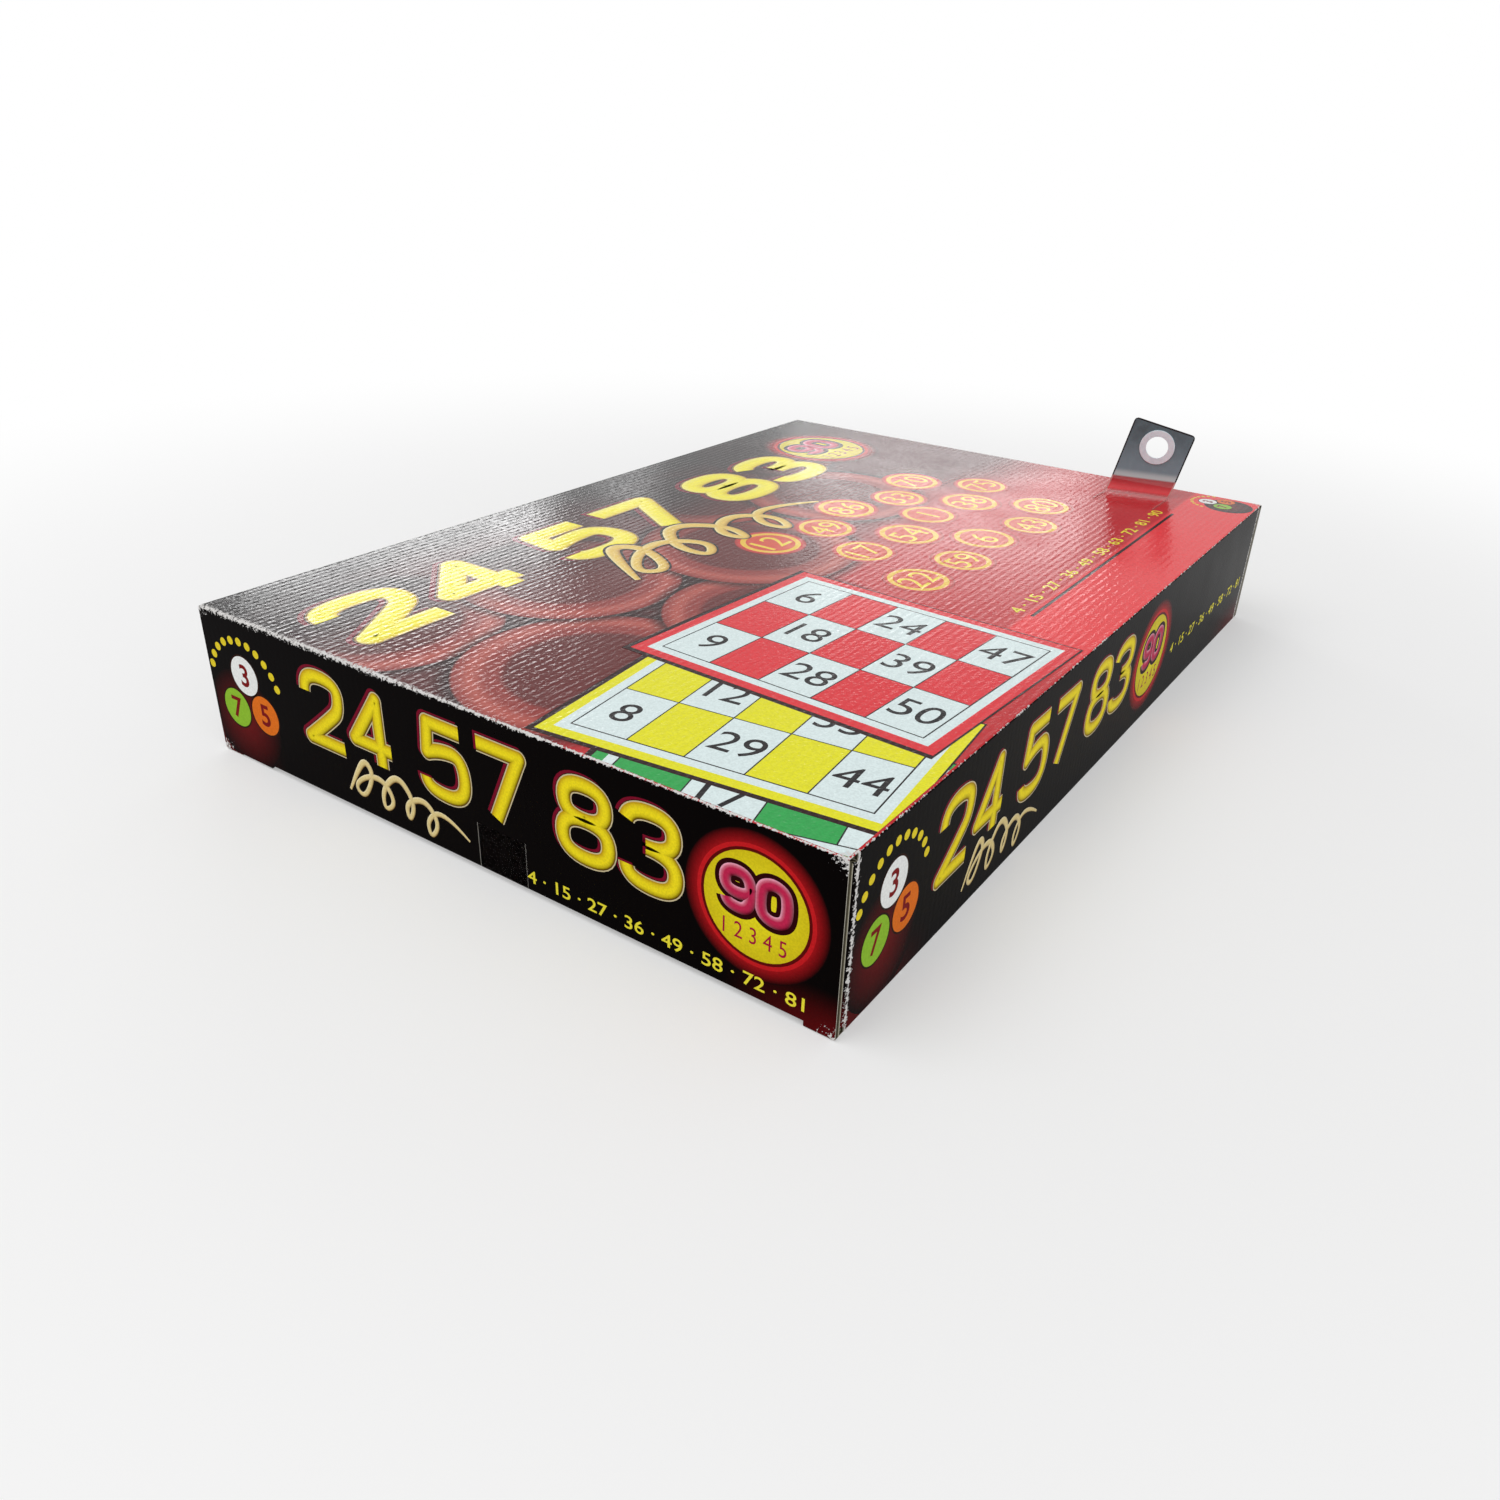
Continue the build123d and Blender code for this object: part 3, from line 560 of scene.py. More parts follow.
def curve_mesh(curve):
    """The curve as a bmesh; the curve itself is removed."""
    holder = bpy.data.objects.new("curve", curve)
    bpy.context.scene.collection.objects.link(holder)
    bpy.context.view_layer.update()
    drawn = holder.evaluated_get(bpy.context.evaluated_depsgraph_get())
    mesh = bpy.data.meshes.new_from_object(drawn)
    bpy.data.objects.remove(holder)
    bpy.data.curves.remove(curve)
    made = bmesh.new()
    made.from_mesh(mesh)
    bpy.data.meshes.remove(mesh)
    return made


def figures(text, height, width=None, weight=0.0):
    """Plain set figures of a height in mm about the origin, squeezed to a width where one is given."""
    curve = bpy.data.curves.new("figures", "FONT")
    curve.body = text
    curve.offset = weight / height
    curve.resolution_u = 5
    made = curve_mesh(curve)
    low = Vector([min(v.co[i] for v in made.verts) for i in range(2)])
    high = Vector([max(v.co[i] for v in made.verts) for i in range(2)])
    span = high - low
    tall = height / span.y
    wide = width / span.x if width else tall
    bmesh.ops.translate(made, verts=made.verts, vec=-((low + high) / 2).to_3d())
    bmesh.ops.scale(made, verts=made.verts, vec=(wide, tall, 1))
    return made


def strokes(paths, thickness):
    """Half-round strokes: each path is (closed, points of x, y and relative width)."""
    curve = bpy.data.curves.new("strokes", "CURVE")
    curve.dimensions = "3D"
    curve.bevel_depth = thickness / 2
    curve.bevel_resolution = 5
    curve.resolution_u = 8
    for closed, points in paths:
        spline = curve.splines.new("NURBS")
        spline.points.add(len(points) - 1)
        for point, (x, y, radius) in zip(spline.points, points):
            point.co = (x, y, 0, 1)
            point.radius = radius
        spline.order_u = 3
        spline.use_cyclic_u = closed
        spline.use_endpoint_u = not closed
    return curve_mesh(curve)


def drawn_figures(text, size, pen, extra=0.0):
    """Geometric figures drawn with one round pen; extra makes the pen wider, for the rim behind them."""
    width, height = size
    shares = [GAP_WIDTH if c == " " else 1 for c in text]
    cell = (width - pen) / (sum(shares) + FIGURE_SPACE * (len(text) - 1))
    paths, corners = [], []
    left = -(width - pen) / 2
    for c, share in zip(text, shares):
        lines, joints = FIGURE_STROKES[c]
        for closed, points in lines:
            paths.append((closed, [(left + x * cell, (y - 0.5) * (height - pen), 1) for x, y in points]))
        corners += [(left + x * cell, (y - 0.5) * (height - pen), 0) for x, y in joints]
        left += cell * (share + FIGURE_SPACE)
    made = strokes(paths, pen + extra)
    # A ball a little wider than the pen closes each corner
    ball = (pen + extra) * 0.51
    for corner in corners:
        spot = Matrix.Translation(corner)
        bmesh.ops.create_uvsphere(made, u_segments=24, v_segments=12, radius=ball, matrix=spot)
    return made


def disc(radius):
    made = bmesh.new()
    bmesh.ops.create_circle(made, cap_ends=True, cap_tris=True, segments=48, radius=radius)
    return made


def ring(inner, outer):
    made = bmesh.new()
    bmesh.ops.create_circle(made, segments=48, radius=inner)
    bmesh.ops.create_circle(made, segments=48, radius=outer)
    bmesh.ops.bridge_loops(made, edges=made.edges)
    return made


def tile(width, height):
    made = bmesh.new()
    bmesh.ops.create_grid(made, x_segments=1, y_segments=1, size=0.5)
    bmesh.ops.scale(made, verts=made.verts, vec=(width, height, 1))
    return made


def relief_tone(normal, crown, dark, light):
    """A drawn relief's shade: its crown's colour on top, and dark or light by the lean of its sides."""
    lit_from = Vector((-0.6, 0.8))
    lean = 0.5 + 0.5 * normal.xy.normalized().dot(lit_from) if normal.xy.length > 1e-4 else 0.5
    upright = min(1.0, max(0.0, (normal.z - 0.5) / 0.46))
    side = [a + (b - a) * lean for a, b in zip(hex_colour(dark), hex_colour(light))]
    return [a + (b - a) * upright for a, b in zip(side, crown)]


class Printing:
    """The ink figures of one face, gathered as one thin mesh; places are in mm from the face's middle."""

    def __init__(self, name, body, slot, right, up, middle):
        self.name, self.body, self.slot = name, body, slot
        right, up = Vector(right), Vector(up)
        turn = Matrix((right, up, right.cross(up))).transposed().to_4x4()
        self.frame = Matrix.Scale(MM, 4) @ Matrix.Translation(middle) @ turn
        self.whole = bmesh.new()
        self.whole.loops.layers.float_color.new("ink")

    def stamp(self, shape, at, layer, colour, sides=None, turn=0.0, fade=None):
        """Presses a shape flat at a place and inks it: plain, by its relief's lean, or fading outwards."""
        shape.normal_update()
        away = [f for f in shape.faces if f.normal.z < 0.02]
        if len(away) == len(shape.faces):
            bmesh.ops.reverse_faces(shape, faces=shape.faces)
        else:
            bmesh.ops.delete(shape, geom=away, context="FACES")
        shape.normal_update()
        ink = shape.loops.layers.float_color.new("ink")
        plain = hex_colour(colour)
        reach = max(v.co.xy.length for v in shape.verts)
        for loop in [loop for face in shape.faces for loop in face.loops]:
            loop[ink] = relief_tone(loop.vert.normal, plain, *sides) if sides else plain
            if fade and loop.vert.co.xy.length > reach * 0.98:
                loop[ink] = hex_colour(fade)
        proud = max(max(v.co.z for v in shape.verts), INK_LAYER)
        bmesh.ops.scale(shape, verts=shape.verts, vec=(1, 1, INK_RELIEF * INK_LAYER / proud))
        spot = Matrix.Translation((*at, INK_LAYER * layer)) @ Matrix.Rotation(math.radians(turn), 4, "Z")
        bmesh.ops.transform(shape, matrix=self.frame @ spot, verts=shape.verts)
        mesh = bpy.data.meshes.new("stamp")
        shape.to_mesh(mesh)
        shape.free()
        self.whole.from_mesh(mesh)
        bpy.data.meshes.remove(mesh)

    def trim(self, low, high):
        """Cuts off what runs past a box, given in mm on the object's own axes."""
        for axis in range(3):
            for sign, limit in ((-1, low[axis]), (1, high[axis])):
                point, normal = Vector(), Vector()
                point[axis], normal[axis] = limit * MM, sign
                parts = [*self.whole.verts, *self.whole.edges, *self.whole.faces]
                cut = {"plane_co": point, "plane_no": normal, "clear_outer": True}
                bmesh.ops.bisect_plane(self.whole, geom=parts, **cut)

    def done(self, material):
        mesh = bpy.data.meshes.new(self.name)
        self.whole.to_mesh(mesh)
        self.whole.free()
        mesh.materials.append(material)
        piece = bpy.data.objects.new(self.name, mesh)
        bpy.context.scene.collection.objects.link(piece)
        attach(piece, self.body)


def gold_title(printing, text, at, size, pen, inks, layer=1):
    """Large gold figures: a crimson ghost behind, a dark line, a pale rim, then the rounded gold. What shows
    past the gold is a share of the pen."""
    crown, dark, light, rim = inks
    ghost = (at[0] - pen * 0.2, at[1] + pen * 0.14)
    printing.stamp(drawn_figures(text, size, pen, pen * 0.2), ghost, layer, "#7a0f28")
    printing.stamp(drawn_figures(text, size, pen, pen * 0.26), at, layer + 1, "#0a0505")
    printing.stamp(drawn_figures(text, size, pen, pen * 0.16), at, layer + 2, rim)
    printing.stamp(drawn_figures(text, size, pen), at, layer + 3, crown, (dark, light))


def badge(printing, at, radius, text, layer=1):
    """A yellow disc in a glowing red ring, with a magenta number over a row of small ones, in shares of the
    disc's radius."""
    printing.stamp(ring(radius * 0.98, radius * 1.22), at, layer, "#a3141a", fade="#0c0405")
    printing.stamp(disc(radius), at, layer + 1, "#c51d22")
    printing.stamp(disc(radius * 0.93), at, layer + 2, "#5e0c0c")
    printing.stamp(disc(radius * 0.88), at, layer + 3, "#f0e424", fade="#d6c31a")
    number = (radius * 1.24, radius * 0.8)
    pen = radius * 0.2
    above = (at[0], at[1] + radius * 0.18)
    printing.stamp(drawn_figures(text, number, pen, pen * 0.75), above, layer + 4, "#2c0509")
    printing.stamp(drawn_figures(text, number, pen), above, layer + 5, "#c22750", ("#5f0a20", "#f3a6bd"))
    below = (at[0], at[1] - radius * 0.5)
    printing.stamp(figures("1 2 3 4 5", radius * 0.28, radius * 1.08), below, layer + 5, "#a3143a")


def flourish(printing, at, size, layer, inks):
    """A looping pen flourish, its strokes thick and thin."""
    unit = size / FLOURISH_LENGTH
    points = [(x * unit - size / 2, (y - FLOURISH_MIDDLE) * unit, wide) for x, y, wide in FLOURISH]
    pen = size * 0.036
    printing.stamp(strokes([(False, points)], pen * 1.4), at, layer, "#0d0706")
    printing.stamp(strokes([(False, points)], pen), at, layer + 1, inks[0], inks[1:])


def balls(printing, at, size, layer=1):
    """Three numbered balls on a dark red bloom, under an arc of yellow beads, in shares of the size."""
    bloom = (at[0] - size * 0.1, at[1] - size * 0.3)
    printing.stamp(disc(size * 0.5), bloom, layer, "#6d1114", fade="#0a0404")
    beads, first, step = 11, 160, 14
    for i in range(beads):
        angle = math.radians(first - step * i)
        bead = (at[0] + math.cos(angle) * size * 0.5, at[1] + math.sin(angle) * size * 0.5)
        printing.stamp(disc(size * 0.04), bead, layer + 1, "#e6cf2c")
    numbered = ((-0.2, -0.2, "#8fbf32", "7"), (0.22, -0.16, "#e2711d", "5"), (0, 0.17, "#eef0ee", "3"))
    for x, y, code, text in numbered:
        spot = (at[0] + x * size, at[1] + y * size)
        printing.stamp(disc(size * 0.204), spot, layer + 2, "#2b1208")
        printing.stamp(disc(size * 0.188), spot, layer + 3, code)
        printing.stamp(figures(text, size * 0.22, weight=0.15), spot, layer + 4, "#7c1216")


def wall_art(name, body, right, middle, title, flourish_at, badge_at, row, balls_at):
    """What one wall of the carton carries, by its layout."""
    printing = Printing(name, body, "wall_print", right, (0, 0, 1), middle)
    gold_title(printing, TITLE, title[0], size=(title[1], 25.5), pen=4.5, inks=WALL_GOLD)
    flourish(printing, flourish_at, size=50, layer=6, inks=WALL_PEN)
    badge(printing, badge_at, radius=16.5, text="90")
    small = figures(WALL_ROW, height=4.0, width=row[1], weight=0.04)
    printing.stamp(small, row[0], 6, "#efe23c")
    balls(printing, balls_at, size=34)
    # The print may stand past the wall by the depth of its layers, and stops short of the folds
    past = INK_LAYER * 20
    sideways = (HALF_X - EDGE_MARGIN, HALF_Y + past) if abs(right[0]) else (HALF_X + past, CREASE_Y)
    printing.trim((-sideways[0], -sideways[1], EDGE_MARGIN), (*sideways, TOP - EDGE_MARGIN))
    return printing


def number_card(printing, at, turn, width, depth, code, layer, numbers):
    """A game card lying on the lid: a coloured border, white paper, and ruled cells, filled or numbered."""
    border, margin, shadow = 3.4, 3.2, 1.2
    frame_line, rule = 0.5, 0.4
    white, line = "#dfeeee", "#232022"
    spin = Matrix.Rotation(math.radians(turn), 2)
    behind = (at[0] - shadow / 2, at[1] - shadow / 2)
    printing.stamp(tile(width + 2 * shadow, depth + 2 * shadow), behind, layer, "#2a0a0c", turn=turn)
    printing.stamp(tile(width, depth), at, layer + 1, code, turn=turn)
    printing.stamp(tile(width - 2 * border, depth - 2 * border), at, layer + 2, white, turn=turn)
    field = Vector((width, depth)) - Vector((1, 1)) * 2 * (border + margin)
    cell = Vector((field.x / len(numbers[0]), field.y / len(numbers)))
    printing.stamp(tile(field.x + frame_line, field.y + frame_line), at, layer + 3, line, turn=turn)
    tallest = min(cell.y * 0.54, cell.x * 0.62)
    for r, row in enumerate(numbers):
        for c, value in enumerate(row):
            off = Vector(((c + 0.5) * cell.x - field.x / 2, field.y / 2 - (r + 0.5) * cell.y))
            middle = Vector(at) + spin @ off
            filling = white if value else code
            printing.stamp(tile(cell.x - rule, cell.y - rule), middle, layer + 4, filling, turn=turn)
            if value:
                printing.stamp(figures(str(value), tallest), middle, layer + 5, line, turn=turn)


def lid_art():
    """The lid's title, flourish, badge, row of numbers and discs, in mm along and across the title."""
    art = Printing("lid_print", "carton", "lid_print", (0, 1, 0), (-1, 0, 0), (0, 0, TOP))
    gold_title(art, TITLE, (-28, 68.5), size=(256, 37), pen=8.4, inks=LID_GOLD)
    flourish(art, (-8, 36), size=116, layer=6, inks=LID_PEN)
    badge(art, (125, 74), radius=22, text="90")
    row_width = 142
    row = figures(LID_ROW, height=4.6, width=row_width, weight=0.05)
    art.stamp(row, (58, -84), 4, "#f3e23e")
    art.stamp(tile(row_width, 1.2), (58, -89.8), 3, "#2a0a0c")
    balls(art, (157, -99), size=19)
    for i, (u, v, radius) in enumerate(LID_DISCS):
        art.stamp(ring(radius * 0.98, radius * 1.18), (u, v), 3, "#dc3a2e", fade="#a8292b")
        art.stamp(disc(radius), (u, v), 4, "#eec33c")
        art.stamp(disc(radius * 0.82), (u, v), 5, "#d4492c")
        number = (i * 37 + 11) % 90 + 1
        art.stamp(figures(str(number), radius), (u, v), 6, "#f6dc45")
    return art


def lid_cards():
    """Three game cards fanned over the lid's near right corner, each in six layers of ink."""
    art = Printing("lid_cards_print", "carton", "lid_print", (1, 0, 0), (0, 1, 0), (0, 0, TOP))
    green = [[3, 0, 26, 0], [0, 17, 0, 41]]
    yellow = [[0, 12, 0, 35, 0], [8, 0, 29, 0, 44]]
    red = [[6, 0, 24, 0, 47], [0, 18, 0, 39, 0], [9, 0, 28, 0, 50]]
    number_card(art, (86, -150), 14, width=92, depth=52, code="#35a853", layer=1, numbers=green)
    number_card(art, (66, -128), 6, width=96, depth=62, code="#e9e51c", layer=7, numbers=yellow)
    number_card(art, (60, -70), -3, width=100, depth=86, code="#e2333c", layer=13, numbers=red)
    return art


def number_table(printing, pitch, height, code, layer):
    """The ninety numbers in nine rows of ten."""
    for n in range(90):
        place = ((n % 10 - 4.5) * pitch, (4 - n // 10) * pitch)
        printing.stamp(figures(str(n + 1), height), place, layer, code)


def wear_material(material, *nodes):
    """Gives a material to CAD nodes in their own slots."""
    for node in nodes:
        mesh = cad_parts[node].data
        mesh.materials.clear()
        mesh.materials.append(material)


def dress_carton():
    flap_y = CREASE_Y + BOARD
    slope = (math.sin(TONGUE_SLOPE), -math.cos(TONGUE_SLOPE))
    tongue_at = -HALF_Y * slope[0] + TONGUE_FOLD_Z * slope[1]
    # Each node: where its print faces, the way out through its board, its outer face, across its flutes
    walls = {
        "bottom_panel": ((0, 0, -1), (0, 0, -1), 0, "X"),
        "right_side_panel": ((1, 0, 0), (1, 0, 0), HALF_X, "Y"),
        "left_side_panel": ((-1, 0, 0), (-1, 0, 0), HALF_X, "Y"),
    }
    for end, s in (("front", -1), ("rear", 1)):
        walls[end + "_closure_panel"] = ((0, 0.8 * s, 0.6), (0, s, 0), HALF_Y, "X")
        tongue = (0, -s * slope[0], slope[1])
        walls[end + "_tuck_tongue"] = (tongue, tongue, tongue_at, "X")
        for side, t in (("left", -1), ("right", 1)):
            walls[f"{end}_{side}_dust_flap"] = ((0.6 * t, 0.8 * s, 0), (0, s, 0), flap_y, "X")
    for node, (towards, outward, face_at, flute_axis) in walls.items():
        name = "microflute_gloss_laminate_" + node
        material = panel_material(name, towards, outward, face_at, flute_axis, wall_ground, WALL_FILM)
        wear_material(material, node)
    name, up = "microflute_gloss_laminate_lid", (0, 0, 1)
    wear_material(panel_material(name, up, up, TOP, "X", lid_ground, LID_FILM), "top_panel")
    wear_material(pulp_sheet("grey_chip_liner", "#857f72", "#a9a293", 0.5, 0.9, 0.02), "glue_flap")
    wear_material(tape_film(), "seal_tape_face", "seal_tape_under")
    wear_material(moulded_ring(), "hang_hole_eyelet")


def dress_contents():
    inks = {"green": "#3fae5c", "yellow": "#e6d81c", "red": "#d8363c",
            "blue": "#2f62b5", "orange": "#e5812a", "violet": "#73459a"}
    for colour, code in inks.items():
        card = printed_card("solid_bleached_card_litho_" + colour, code, cell_mm=20.0)
        wear_material(card, "cards_" + colour)
    greyboard = pulp_sheet("greyboard_pressed", "#b9b2a2", "#d3ccbc", 0.6, 0.75, 0.012)
    wear_material(greyboard, "calling_board")
    paper = pulp_sheet("bond_paper_uncoated", "#dad6cc", "#f2efe8", 0.4, 0.8, 0.008)
    wear_material(paper, "rules_leaflet")


def print_carton():
    lid_ink = ink_material("X", LID_FILM)
    reach = Vector((HALF_X - EDGE_MARGIN, HALF_Y - EDGE_MARGIN))
    for art in (lid_art(), lid_cards()):
        art.trim((*-reach, 0), (*reach, 2 * TOP))
        art.done(lid_ink)
    end_ink = ink_material("X", WALL_FILM)
    side_ink = ink_material("Y", WALL_FILM)
    wall_art("front_print", "front_closure", (1, 0, 0), (0, -HALF_Y, 0), **END_LAYOUT).done(end_ink)
    wall_art("rear_print", "rear_closure", (-1, 0, 0), (0, HALF_Y, 0), **END_LAYOUT).done(end_ink)
    wall_art("right_print", "carton", (0, 1, 0), (HALF_X, 0, 0), **SIDE_LAYOUT).done(side_ink)
    wall_art("left_print", "carton", (0, -1, 0), (-HALF_X, 0, 0), **SIDE_LAYOUT).done(side_ink)
    under = Printing("underside_print", "carton", "wall_print", (0, 1, 0), (1, 0, 0), (0, 0, 0))
    length, width, line = 226, 196, 1
    under.stamp(tile(length, width), (0, 0), 1, "#c9a51a")
    under.stamp(tile(length - 2 * line, width - 2 * line), (0, 0), 2, BLACK_INK)
    number_table(under, pitch=20.0, height=7.5, code="#e9db3a", layer=3)
    under.done(end_ink)


def bent_strip(point):
    """Where a point of the flat strip, given along and across it, lies once the strip is bent upright."""
    turn, bend = TAB["skew"], TAB["bend"]
    side = point.x * math.sin(turn) + point.y * math.cos(turn)
    past = point.x * math.cos(turn) - point.y * math.sin(turn)
    run = bend * math.pi / 2
    if past < 0:
        return Vector((side, past, 0))
    if past < run:
        return Vector((side, bend * math.sin(past / bend), bend * (1 - math.cos(past / bend))))
    return Vector((side, bend, bend + past - run))


def hang_strip():
    """The clear hang strip as one sheet: stuck down, bent up and holed."""
    made = bmesh.new()
    near, far, half, corner = -TAB["foot"], TAB["length"], TAB["width"] / 2, TAB["corner"]
    bmesh.ops.create_grid(made, x_segments=60, y_segments=26, size=0.5)
    bmesh.ops.scale(made, verts=made.verts, vec=(far - near, 2 * half, 1))
    bmesh.ops.translate(made, verts=made.verts, vec=((far + near) / 2, 0, 0))
    for vert in made.verts:
        middle = Vector((far - corner, math.copysign(half - corner, vert.co.y), 0))
        away = vert.co - middle
        if away.x > 0 and away.y * vert.co.y > 0 and away.length > corner:
            vert.co = middle + away.normalized() * corner
    # The grid's cells round the hole go, and their rim is drawn in to a circle
    hole, cleared, rim_within = Vector((TAB["hole_along"], 0, 0)), TAB["hole"] + 1.2, TAB["hole"] + 3
    inner = [v for v in made.verts if (v.co - hole).length < cleared]
    bmesh.ops.delete(made, geom=inner, context="VERTS")
    rim = [e for e in made.edges if e.is_boundary and (e.verts[0].co - hole).length < rim_within]
    for part in bmesh.ops.extrude_edge_only(made, edges=rim)["geom"]:
        if isinstance(part, bmesh.types.BMVert):
            part.co = hole + (part.co - hole).normalized() * TAB["hole"]
    flat = made.verts.layers.float_vector.new("flat_mm")
    for vert in made.verts:
        vert[flat] = vert.co
        vert.co = bent_strip(vert.co)
    bmesh.ops.recalc_face_normals(made, faces=made.faces)
    if sum(f.normal.z for f in made.faces) < 0:
        bmesh.ops.reverse_faces(made, faces=made.faces)
    bmesh.ops.solidify(made, geom=made.faces, thickness=-TAB["thickness"])
    bmesh.ops.recalc_face_normals(made, faces=made.faces)
    bmesh.ops.transform(made, matrix=Matrix.Scale(MM, 4) @ TAB_PLACE, verts=made.verts)
    strip = finished("hang_strip", made, clear_strip_painted_light())
    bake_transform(strip)
    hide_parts("hang_tab_foot", "hang_tab_bend", "hang_tab_header")


def box_mm(*nodes):
    """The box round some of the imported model's nodes, in mm."""
    corners = [Vector(corner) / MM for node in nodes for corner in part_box(node)]
    low = Vector([min(c[i] for c in corners) for i in range(3)])
    return low, Vector([max(c[i] for c in corners) for i in range(3)])


def calling_board_print():
    """The numbers from 1 to 90 on the calling board's face."""
    low, high = box_mm("calling_board")
    middle = (*((low + high) / 2).xy, high.z)
    board = Printing("calling_board_print", "calling_board", "calling_board", (1, 0, 0), (0, 1, 0), middle)
    number_table(board, pitch=19.0, height=8.0, code="#2b2522", layer=0.5)
    board.done(ink_material("X", WALL_FILM))


def disc_pitch():
    """How far apart the wooden numbers' columns and rows lie, in mm."""
    low, high = box_mm("number_discs")
    return (high.x - low.x - DISC_WIDTH) / (DISC_COLUMNS - 1)


def wooden_numbers():
    """Ninety tumbled discs in three layers, with a ring and a number burnt into each."""
    low, high = box_mm("number_discs")
    middle = (low + high) / 2
    layer_pitch = (high.z - low.z - DISC_HEIGHT) / (DISC_LAYERS - 1)
    pitch = disc_pitch()
    burnt = pulp_sheet("birch_scorched", BURNT, "#4a2a1a", 0.4, 0.8, 0.01)
    discs = bmesh.new()
    radius = DISC_WIDTH / 2
    for layer in range(DISC_LAYERS):
        top = low.z + DISC_HEIGHT + layer * layer_pitch
        name = f"disc_numbers_{layer + 1}"
        marks = Printing(name, "number_bag", "wood_numbers", (1, 0, 0), (0, 1, 0), (*middle.xy, top))
        for n in range(DISC_COLUMNS * DISC_ROWS):
            column, row = n % DISC_COLUMNS, n // DISC_COLUMNS
            place = ((column - (DISC_COLUMNS - 1) / 2) * pitch, (row - (DISC_ROWS - 1) / 2) * pitch)
            spot = Matrix.Translation((middle.x + place[0], middle.y + place[1], top - DISC_HEIGHT / 2))
            bmesh.ops.create_cone(discs, cap_ends=True, segments=28, radius1=radius, radius2=radius,
                                  depth=DISC_HEIGHT, matrix=spot)
            number = (layer * DISC_COLUMNS * DISC_ROWS + n) * 37 % 90 + 1
            marks.stamp(ring(*BURNT_RING), place, 1, BURNT)
            marks.stamp(figures(str(number), BURNT_FIGURE), place, 1, BURNT, turn=number * 31 % 360)
        marks.done(burnt)
    rims = [edge for edge in discs.edges if edge.calc_face_angle(0) > 1]
    bmesh.ops.bevel(discs, geom=rims, offset=DISC_ROUND, segments=2, profile=0.5, affect="EDGES",
                    material=-1)
    bmesh.ops.scale(discs, verts=discs.verts, vec=(MM, MM, MM))
    discs = finished("number_discs_tumbled", discs, sawn_birch())
    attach(discs, "number_bag")
    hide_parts("number_discs")


def sewn_bag():
    """The cotton bag round the wooden numbers: two cloths filled out from inside, and a rolled seam."""
    low, high = box_mm("bag_lower_cloth", "bag_upper_cloth")
    middle, size = (low + high) / 2, high - low
    made = bmesh.new()
    # Two bridged grids come out in the same order each run, so the simulation gives the same cloth each run
    wide, deep = size.x - 2 * CLOTH_INSET, size.y - 2 * CLOTH_INSET
    for height in (low.z + CLOTH_LIFT, low.z + CLOTH_LIFT + size.z - CLOTH_DROP):
        sheet = bmesh.ops.create_grid(made, x_segments=66, y_segments=24, size=0.5)["verts"]
        bmesh.ops.scale(made, verts=sheet, vec=(wide, deep, 1))
        bmesh.ops.translate(made, verts=sheet, vec=(middle.x, middle.y, height))
    bmesh.ops.bridge_loops(made, edges=[e for e in made.edges if e.is_boundary])
    upright = [e for e in made.edges if abs(e.verts[0].co.z - e.verts[1].co.z) > 1]
    bmesh.ops.subdivide_edges(made, edges=upright, cuts=6, use_grid_fill=True)
    bmesh.ops.recalc_face_normals(made, faces=made.faces)
    bmesh.ops.scale(made, verts=made.verts, vec=(MM, MM, MM))
    cloth = woven_cotton()
    bag = finished("number_bag_cloth", made, cloth)
    fill_out(bag)
    # The cloth stays inside the bag's box, and on top it sags where no disc holds it up
    pitch = disc_pitch()
    for vert in bag.data.vertices:
        vert.co = [min(max(vert.co[i], low[i] * MM), high[i] * MM) for i in range(3)]
        if vert.co.z > middle.z * MM:
            across = (vert.co / MM - middle) * math.pi / pitch
            vert.co.z -= CLOTH_SAG * MM * (1 - abs(math.sin(across.x) * math.cos(across.y)))
    round_off = bag.modifiers.new("round_off", "SUBSURF")
    round_off.levels = round_off.render_levels = 1
    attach(bag, "number_bag")
    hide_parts("bag_lower_cloth", "bag_upper_cloth")

    x, y, bend = (size.x - SEAM_WIDTH) / 2, (size.y - SEAM_WIDTH) / 2, SEAM_BEND
    corners = [(x, bend - y), (x, y - bend), (x, y), (x - bend, y), (bend - x, y), (-x, y),
               (-x, y - bend), (-x, bend - y), (-x, -y), (bend - x, -y), (x - bend, -y), (x, -y)]
    seam = strokes([(True, [(u, v, 1) for u, v in corners])], SEAM_WIDTH)
    place = Matrix.Scale(MM, 4) @ Matrix.Translation(middle)
    bmesh.ops.transform(seam, matrix=place, verts=seam.verts)
    seam = finished("number_bag_seam", seam, cloth)
    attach(seam, "number_bag")


def fill_out(piece):
    """Cloth simulation: the piece swells under pressure, and keeps the shape that it has at the end."""
    cloth = piece.modifiers.new("filling", "CLOTH").settings
    cloth.quality = 6
    cloth.mass = 0.15
    cloth.use_pressure = True
    cloth.uniform_pressure_force = 3.0
    cloth.shrink_min = -0.03
    cloth.effector_weights.gravity = 0
    scene = bpy.context.scene
    for step in range(FILLING_FRAMES):
        scene.frame_set(step + 1)
    swollen = piece.evaluated_get(bpy.context.evaluated_depsgraph_get())
    filled = bpy.data.meshes.new_from_object(swollen)
    piece.modifiers.clear()
    piece.data = filled
    scene.frame_set(1)


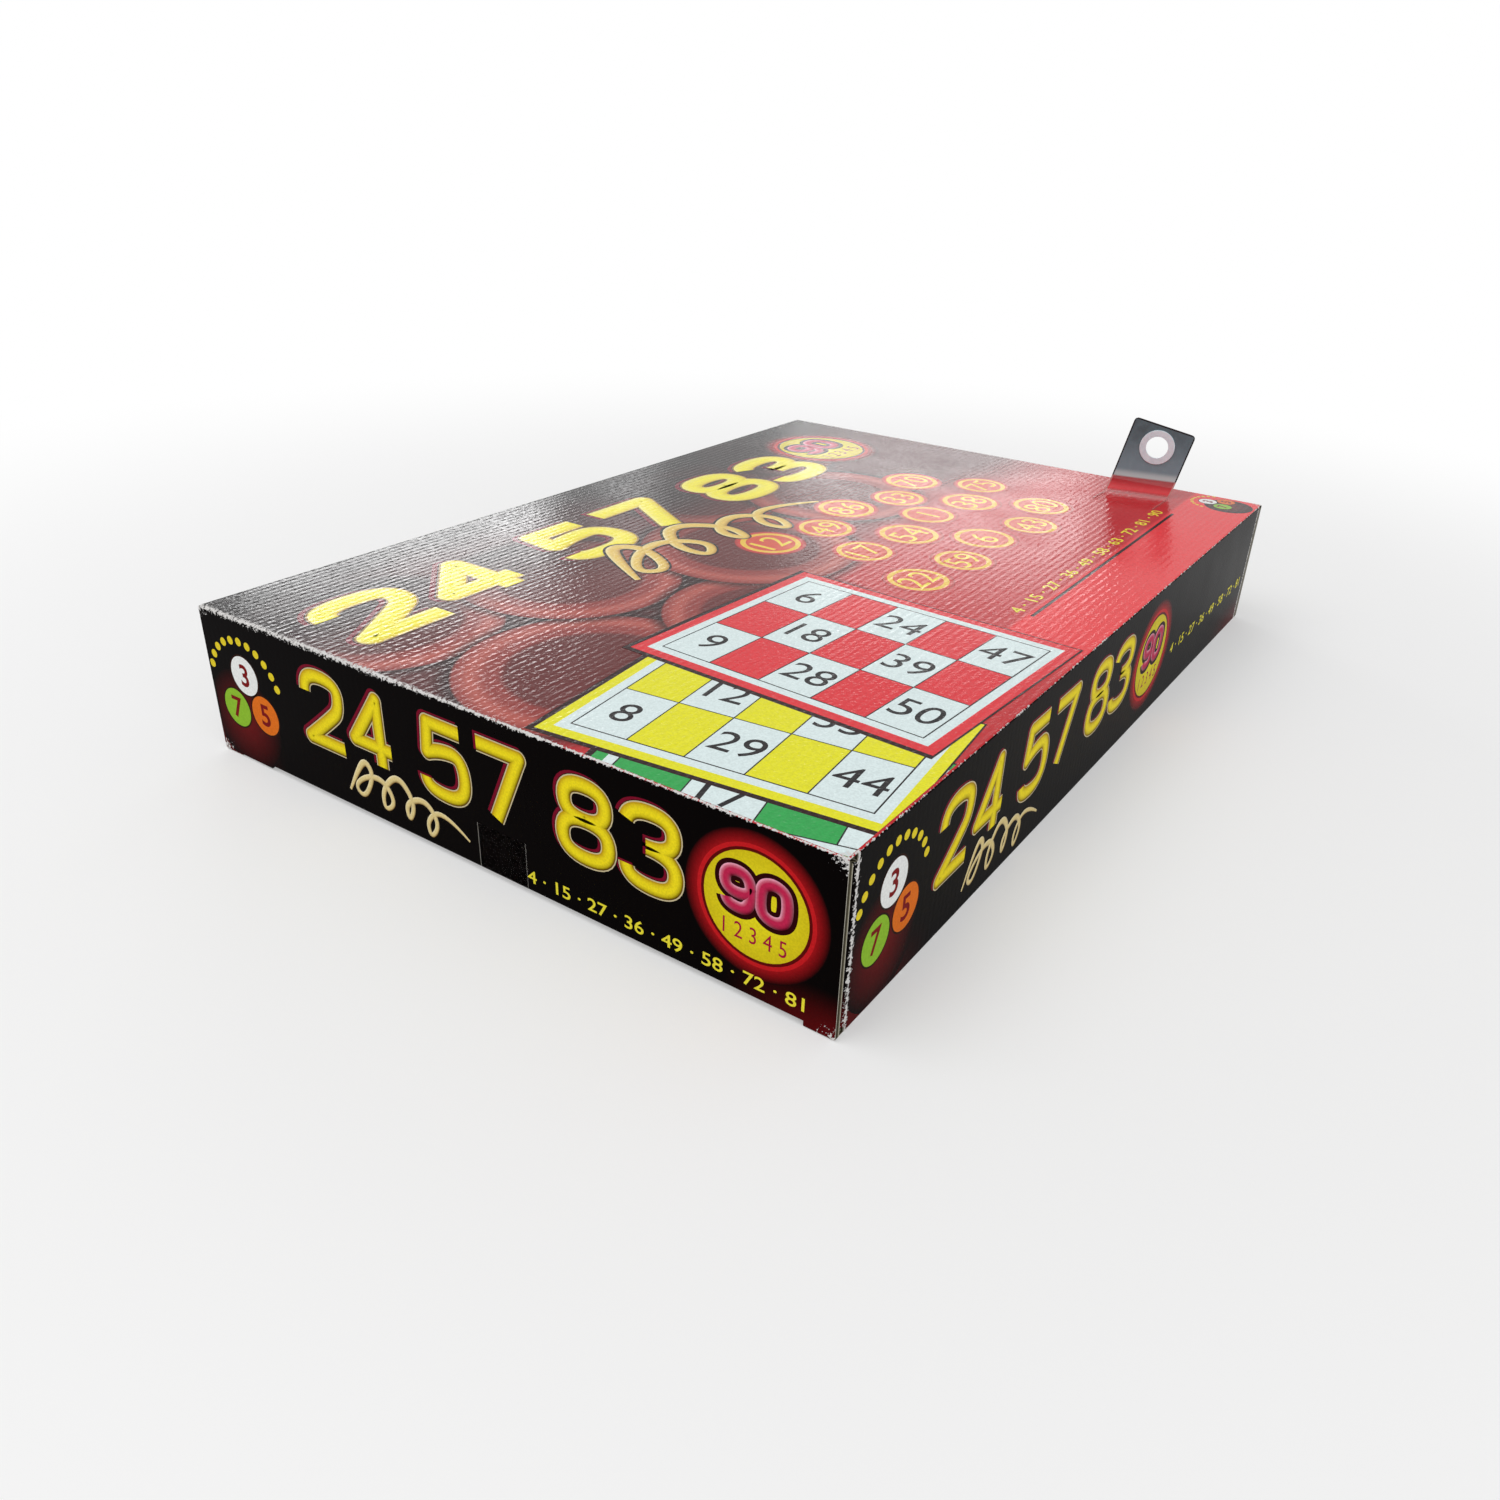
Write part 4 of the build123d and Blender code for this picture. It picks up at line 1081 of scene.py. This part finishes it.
def finished(name, made, material):
    """A bmesh made an object with its material, its faces shaded smooth across gentle angles."""
    mesh = bpy.data.meshes.new(name)
    made.to_mesh(mesh)
    made.free()
    mesh.shade_smooth()
    mesh.set_sharp_from_angle(angle=math.radians(35))
    mesh.materials.append(material)
    piece = bpy.data.objects.new(name, mesh)
    bpy.context.scene.collection.objects.link(piece)
    return piece


def area_light(name, at, size, power):
    """A soft rectangular lamp, turned towards the object."""
    data = bpy.data.lights.new(name, "AREA")
    data.shape = "RECTANGLE"
    data.size, data.size_y = size
    data.energy = power
    lamp = bpy.data.objects.new(name, data)
    lamp.location = at
    lamp.rotation_euler = (-Vector(at)).to_track_quat("-Z", "Y").to_euler()
    bpy.context.scene.collection.objects.link(lamp)


def studio():
    """Soft light, a pale floor, and a white backdrop that the camera, reflections and clear film see."""
    scene = bpy.context.scene
    scene.view_settings.view_transform = "Standard"
    world = bpy.data.worlds.new("studio")
    world.use_nodes = True
    tree = world.node_tree
    tree.nodes.clear()
    seen = add(tree, "LightPath", out="Is Camera Ray")
    for kind in ("Is Glossy Ray", "Is Transmission Ray"):
        seen = add(tree, "Math", seen, add(tree, "LightPath", out=kind), operation="MAXIMUM")
    strength = add(tree, "Math", seen, 1 - WORLD_LIGHT, WORLD_LIGHT, operation="MULTIPLY_ADD")
    add(tree, "OutputWorld", add(tree, "Background", "#ffffff", strength))
    scene.world = world

    bpy.ops.mesh.primitive_plane_add(size=FLOOR_SIDE)
    floor = bpy.context.object
    floor.name = "floor"
    # Matt white paper, its grain too fine to see, that turns to the backdrop's white away from the object
    material, tree = empty_material("floor_matt_white_paper")
    matt = add(tree, "BsdfPrincipled", named={
        "Base Color": "#f2f2f2",
        "Roughness": 0.9,
        "Specular IOR Level": 0.1,
    })
    away = add(tree, "VectorMath", place_mm(tree), operation="LENGTH")
    share = add(tree, "MapRange", away, *FLOOR_FADE, 0.35, 1.0, **SMOOTH)
    share = add(tree, "Math", share, add(tree, "LightPath", out="Is Camera Ray"), operation="MULTIPLY")
    white = add(tree, "Emission", "#ffffff", 1.0)
    add(tree, "OutputMaterial", add(tree, "MixShader", share, matt, white))
    floor.data.materials.append(material)

    for lamp in LAMPS:
        area_light(*lamp)

    camera = bpy.data.objects.new("camera", bpy.data.cameras.new("camera"))
    camera.data.lens = LENS
    camera.data.sensor_width = SENSOR
    camera.data.clip_start = 0.01
    place = Matrix.Translation(Vector(CAMERA_AT) * MM)
    for degrees, axis in ((CAMERA_AZIMUTH, "Z"), (90 - CAMERA_DOWN, "X"), (CAMERA_ROLL, "Z")):
        place = place @ Matrix.Rotation(math.radians(degrees), 4, axis)
    camera.matrix_world = place
    scene.collection.objects.link(camera)
    scene.camera = camera


studio()
dress_carton()
dress_contents()
print_carton()
calling_board_print()
wooden_numbers()
hang_strip()
sewn_bag()
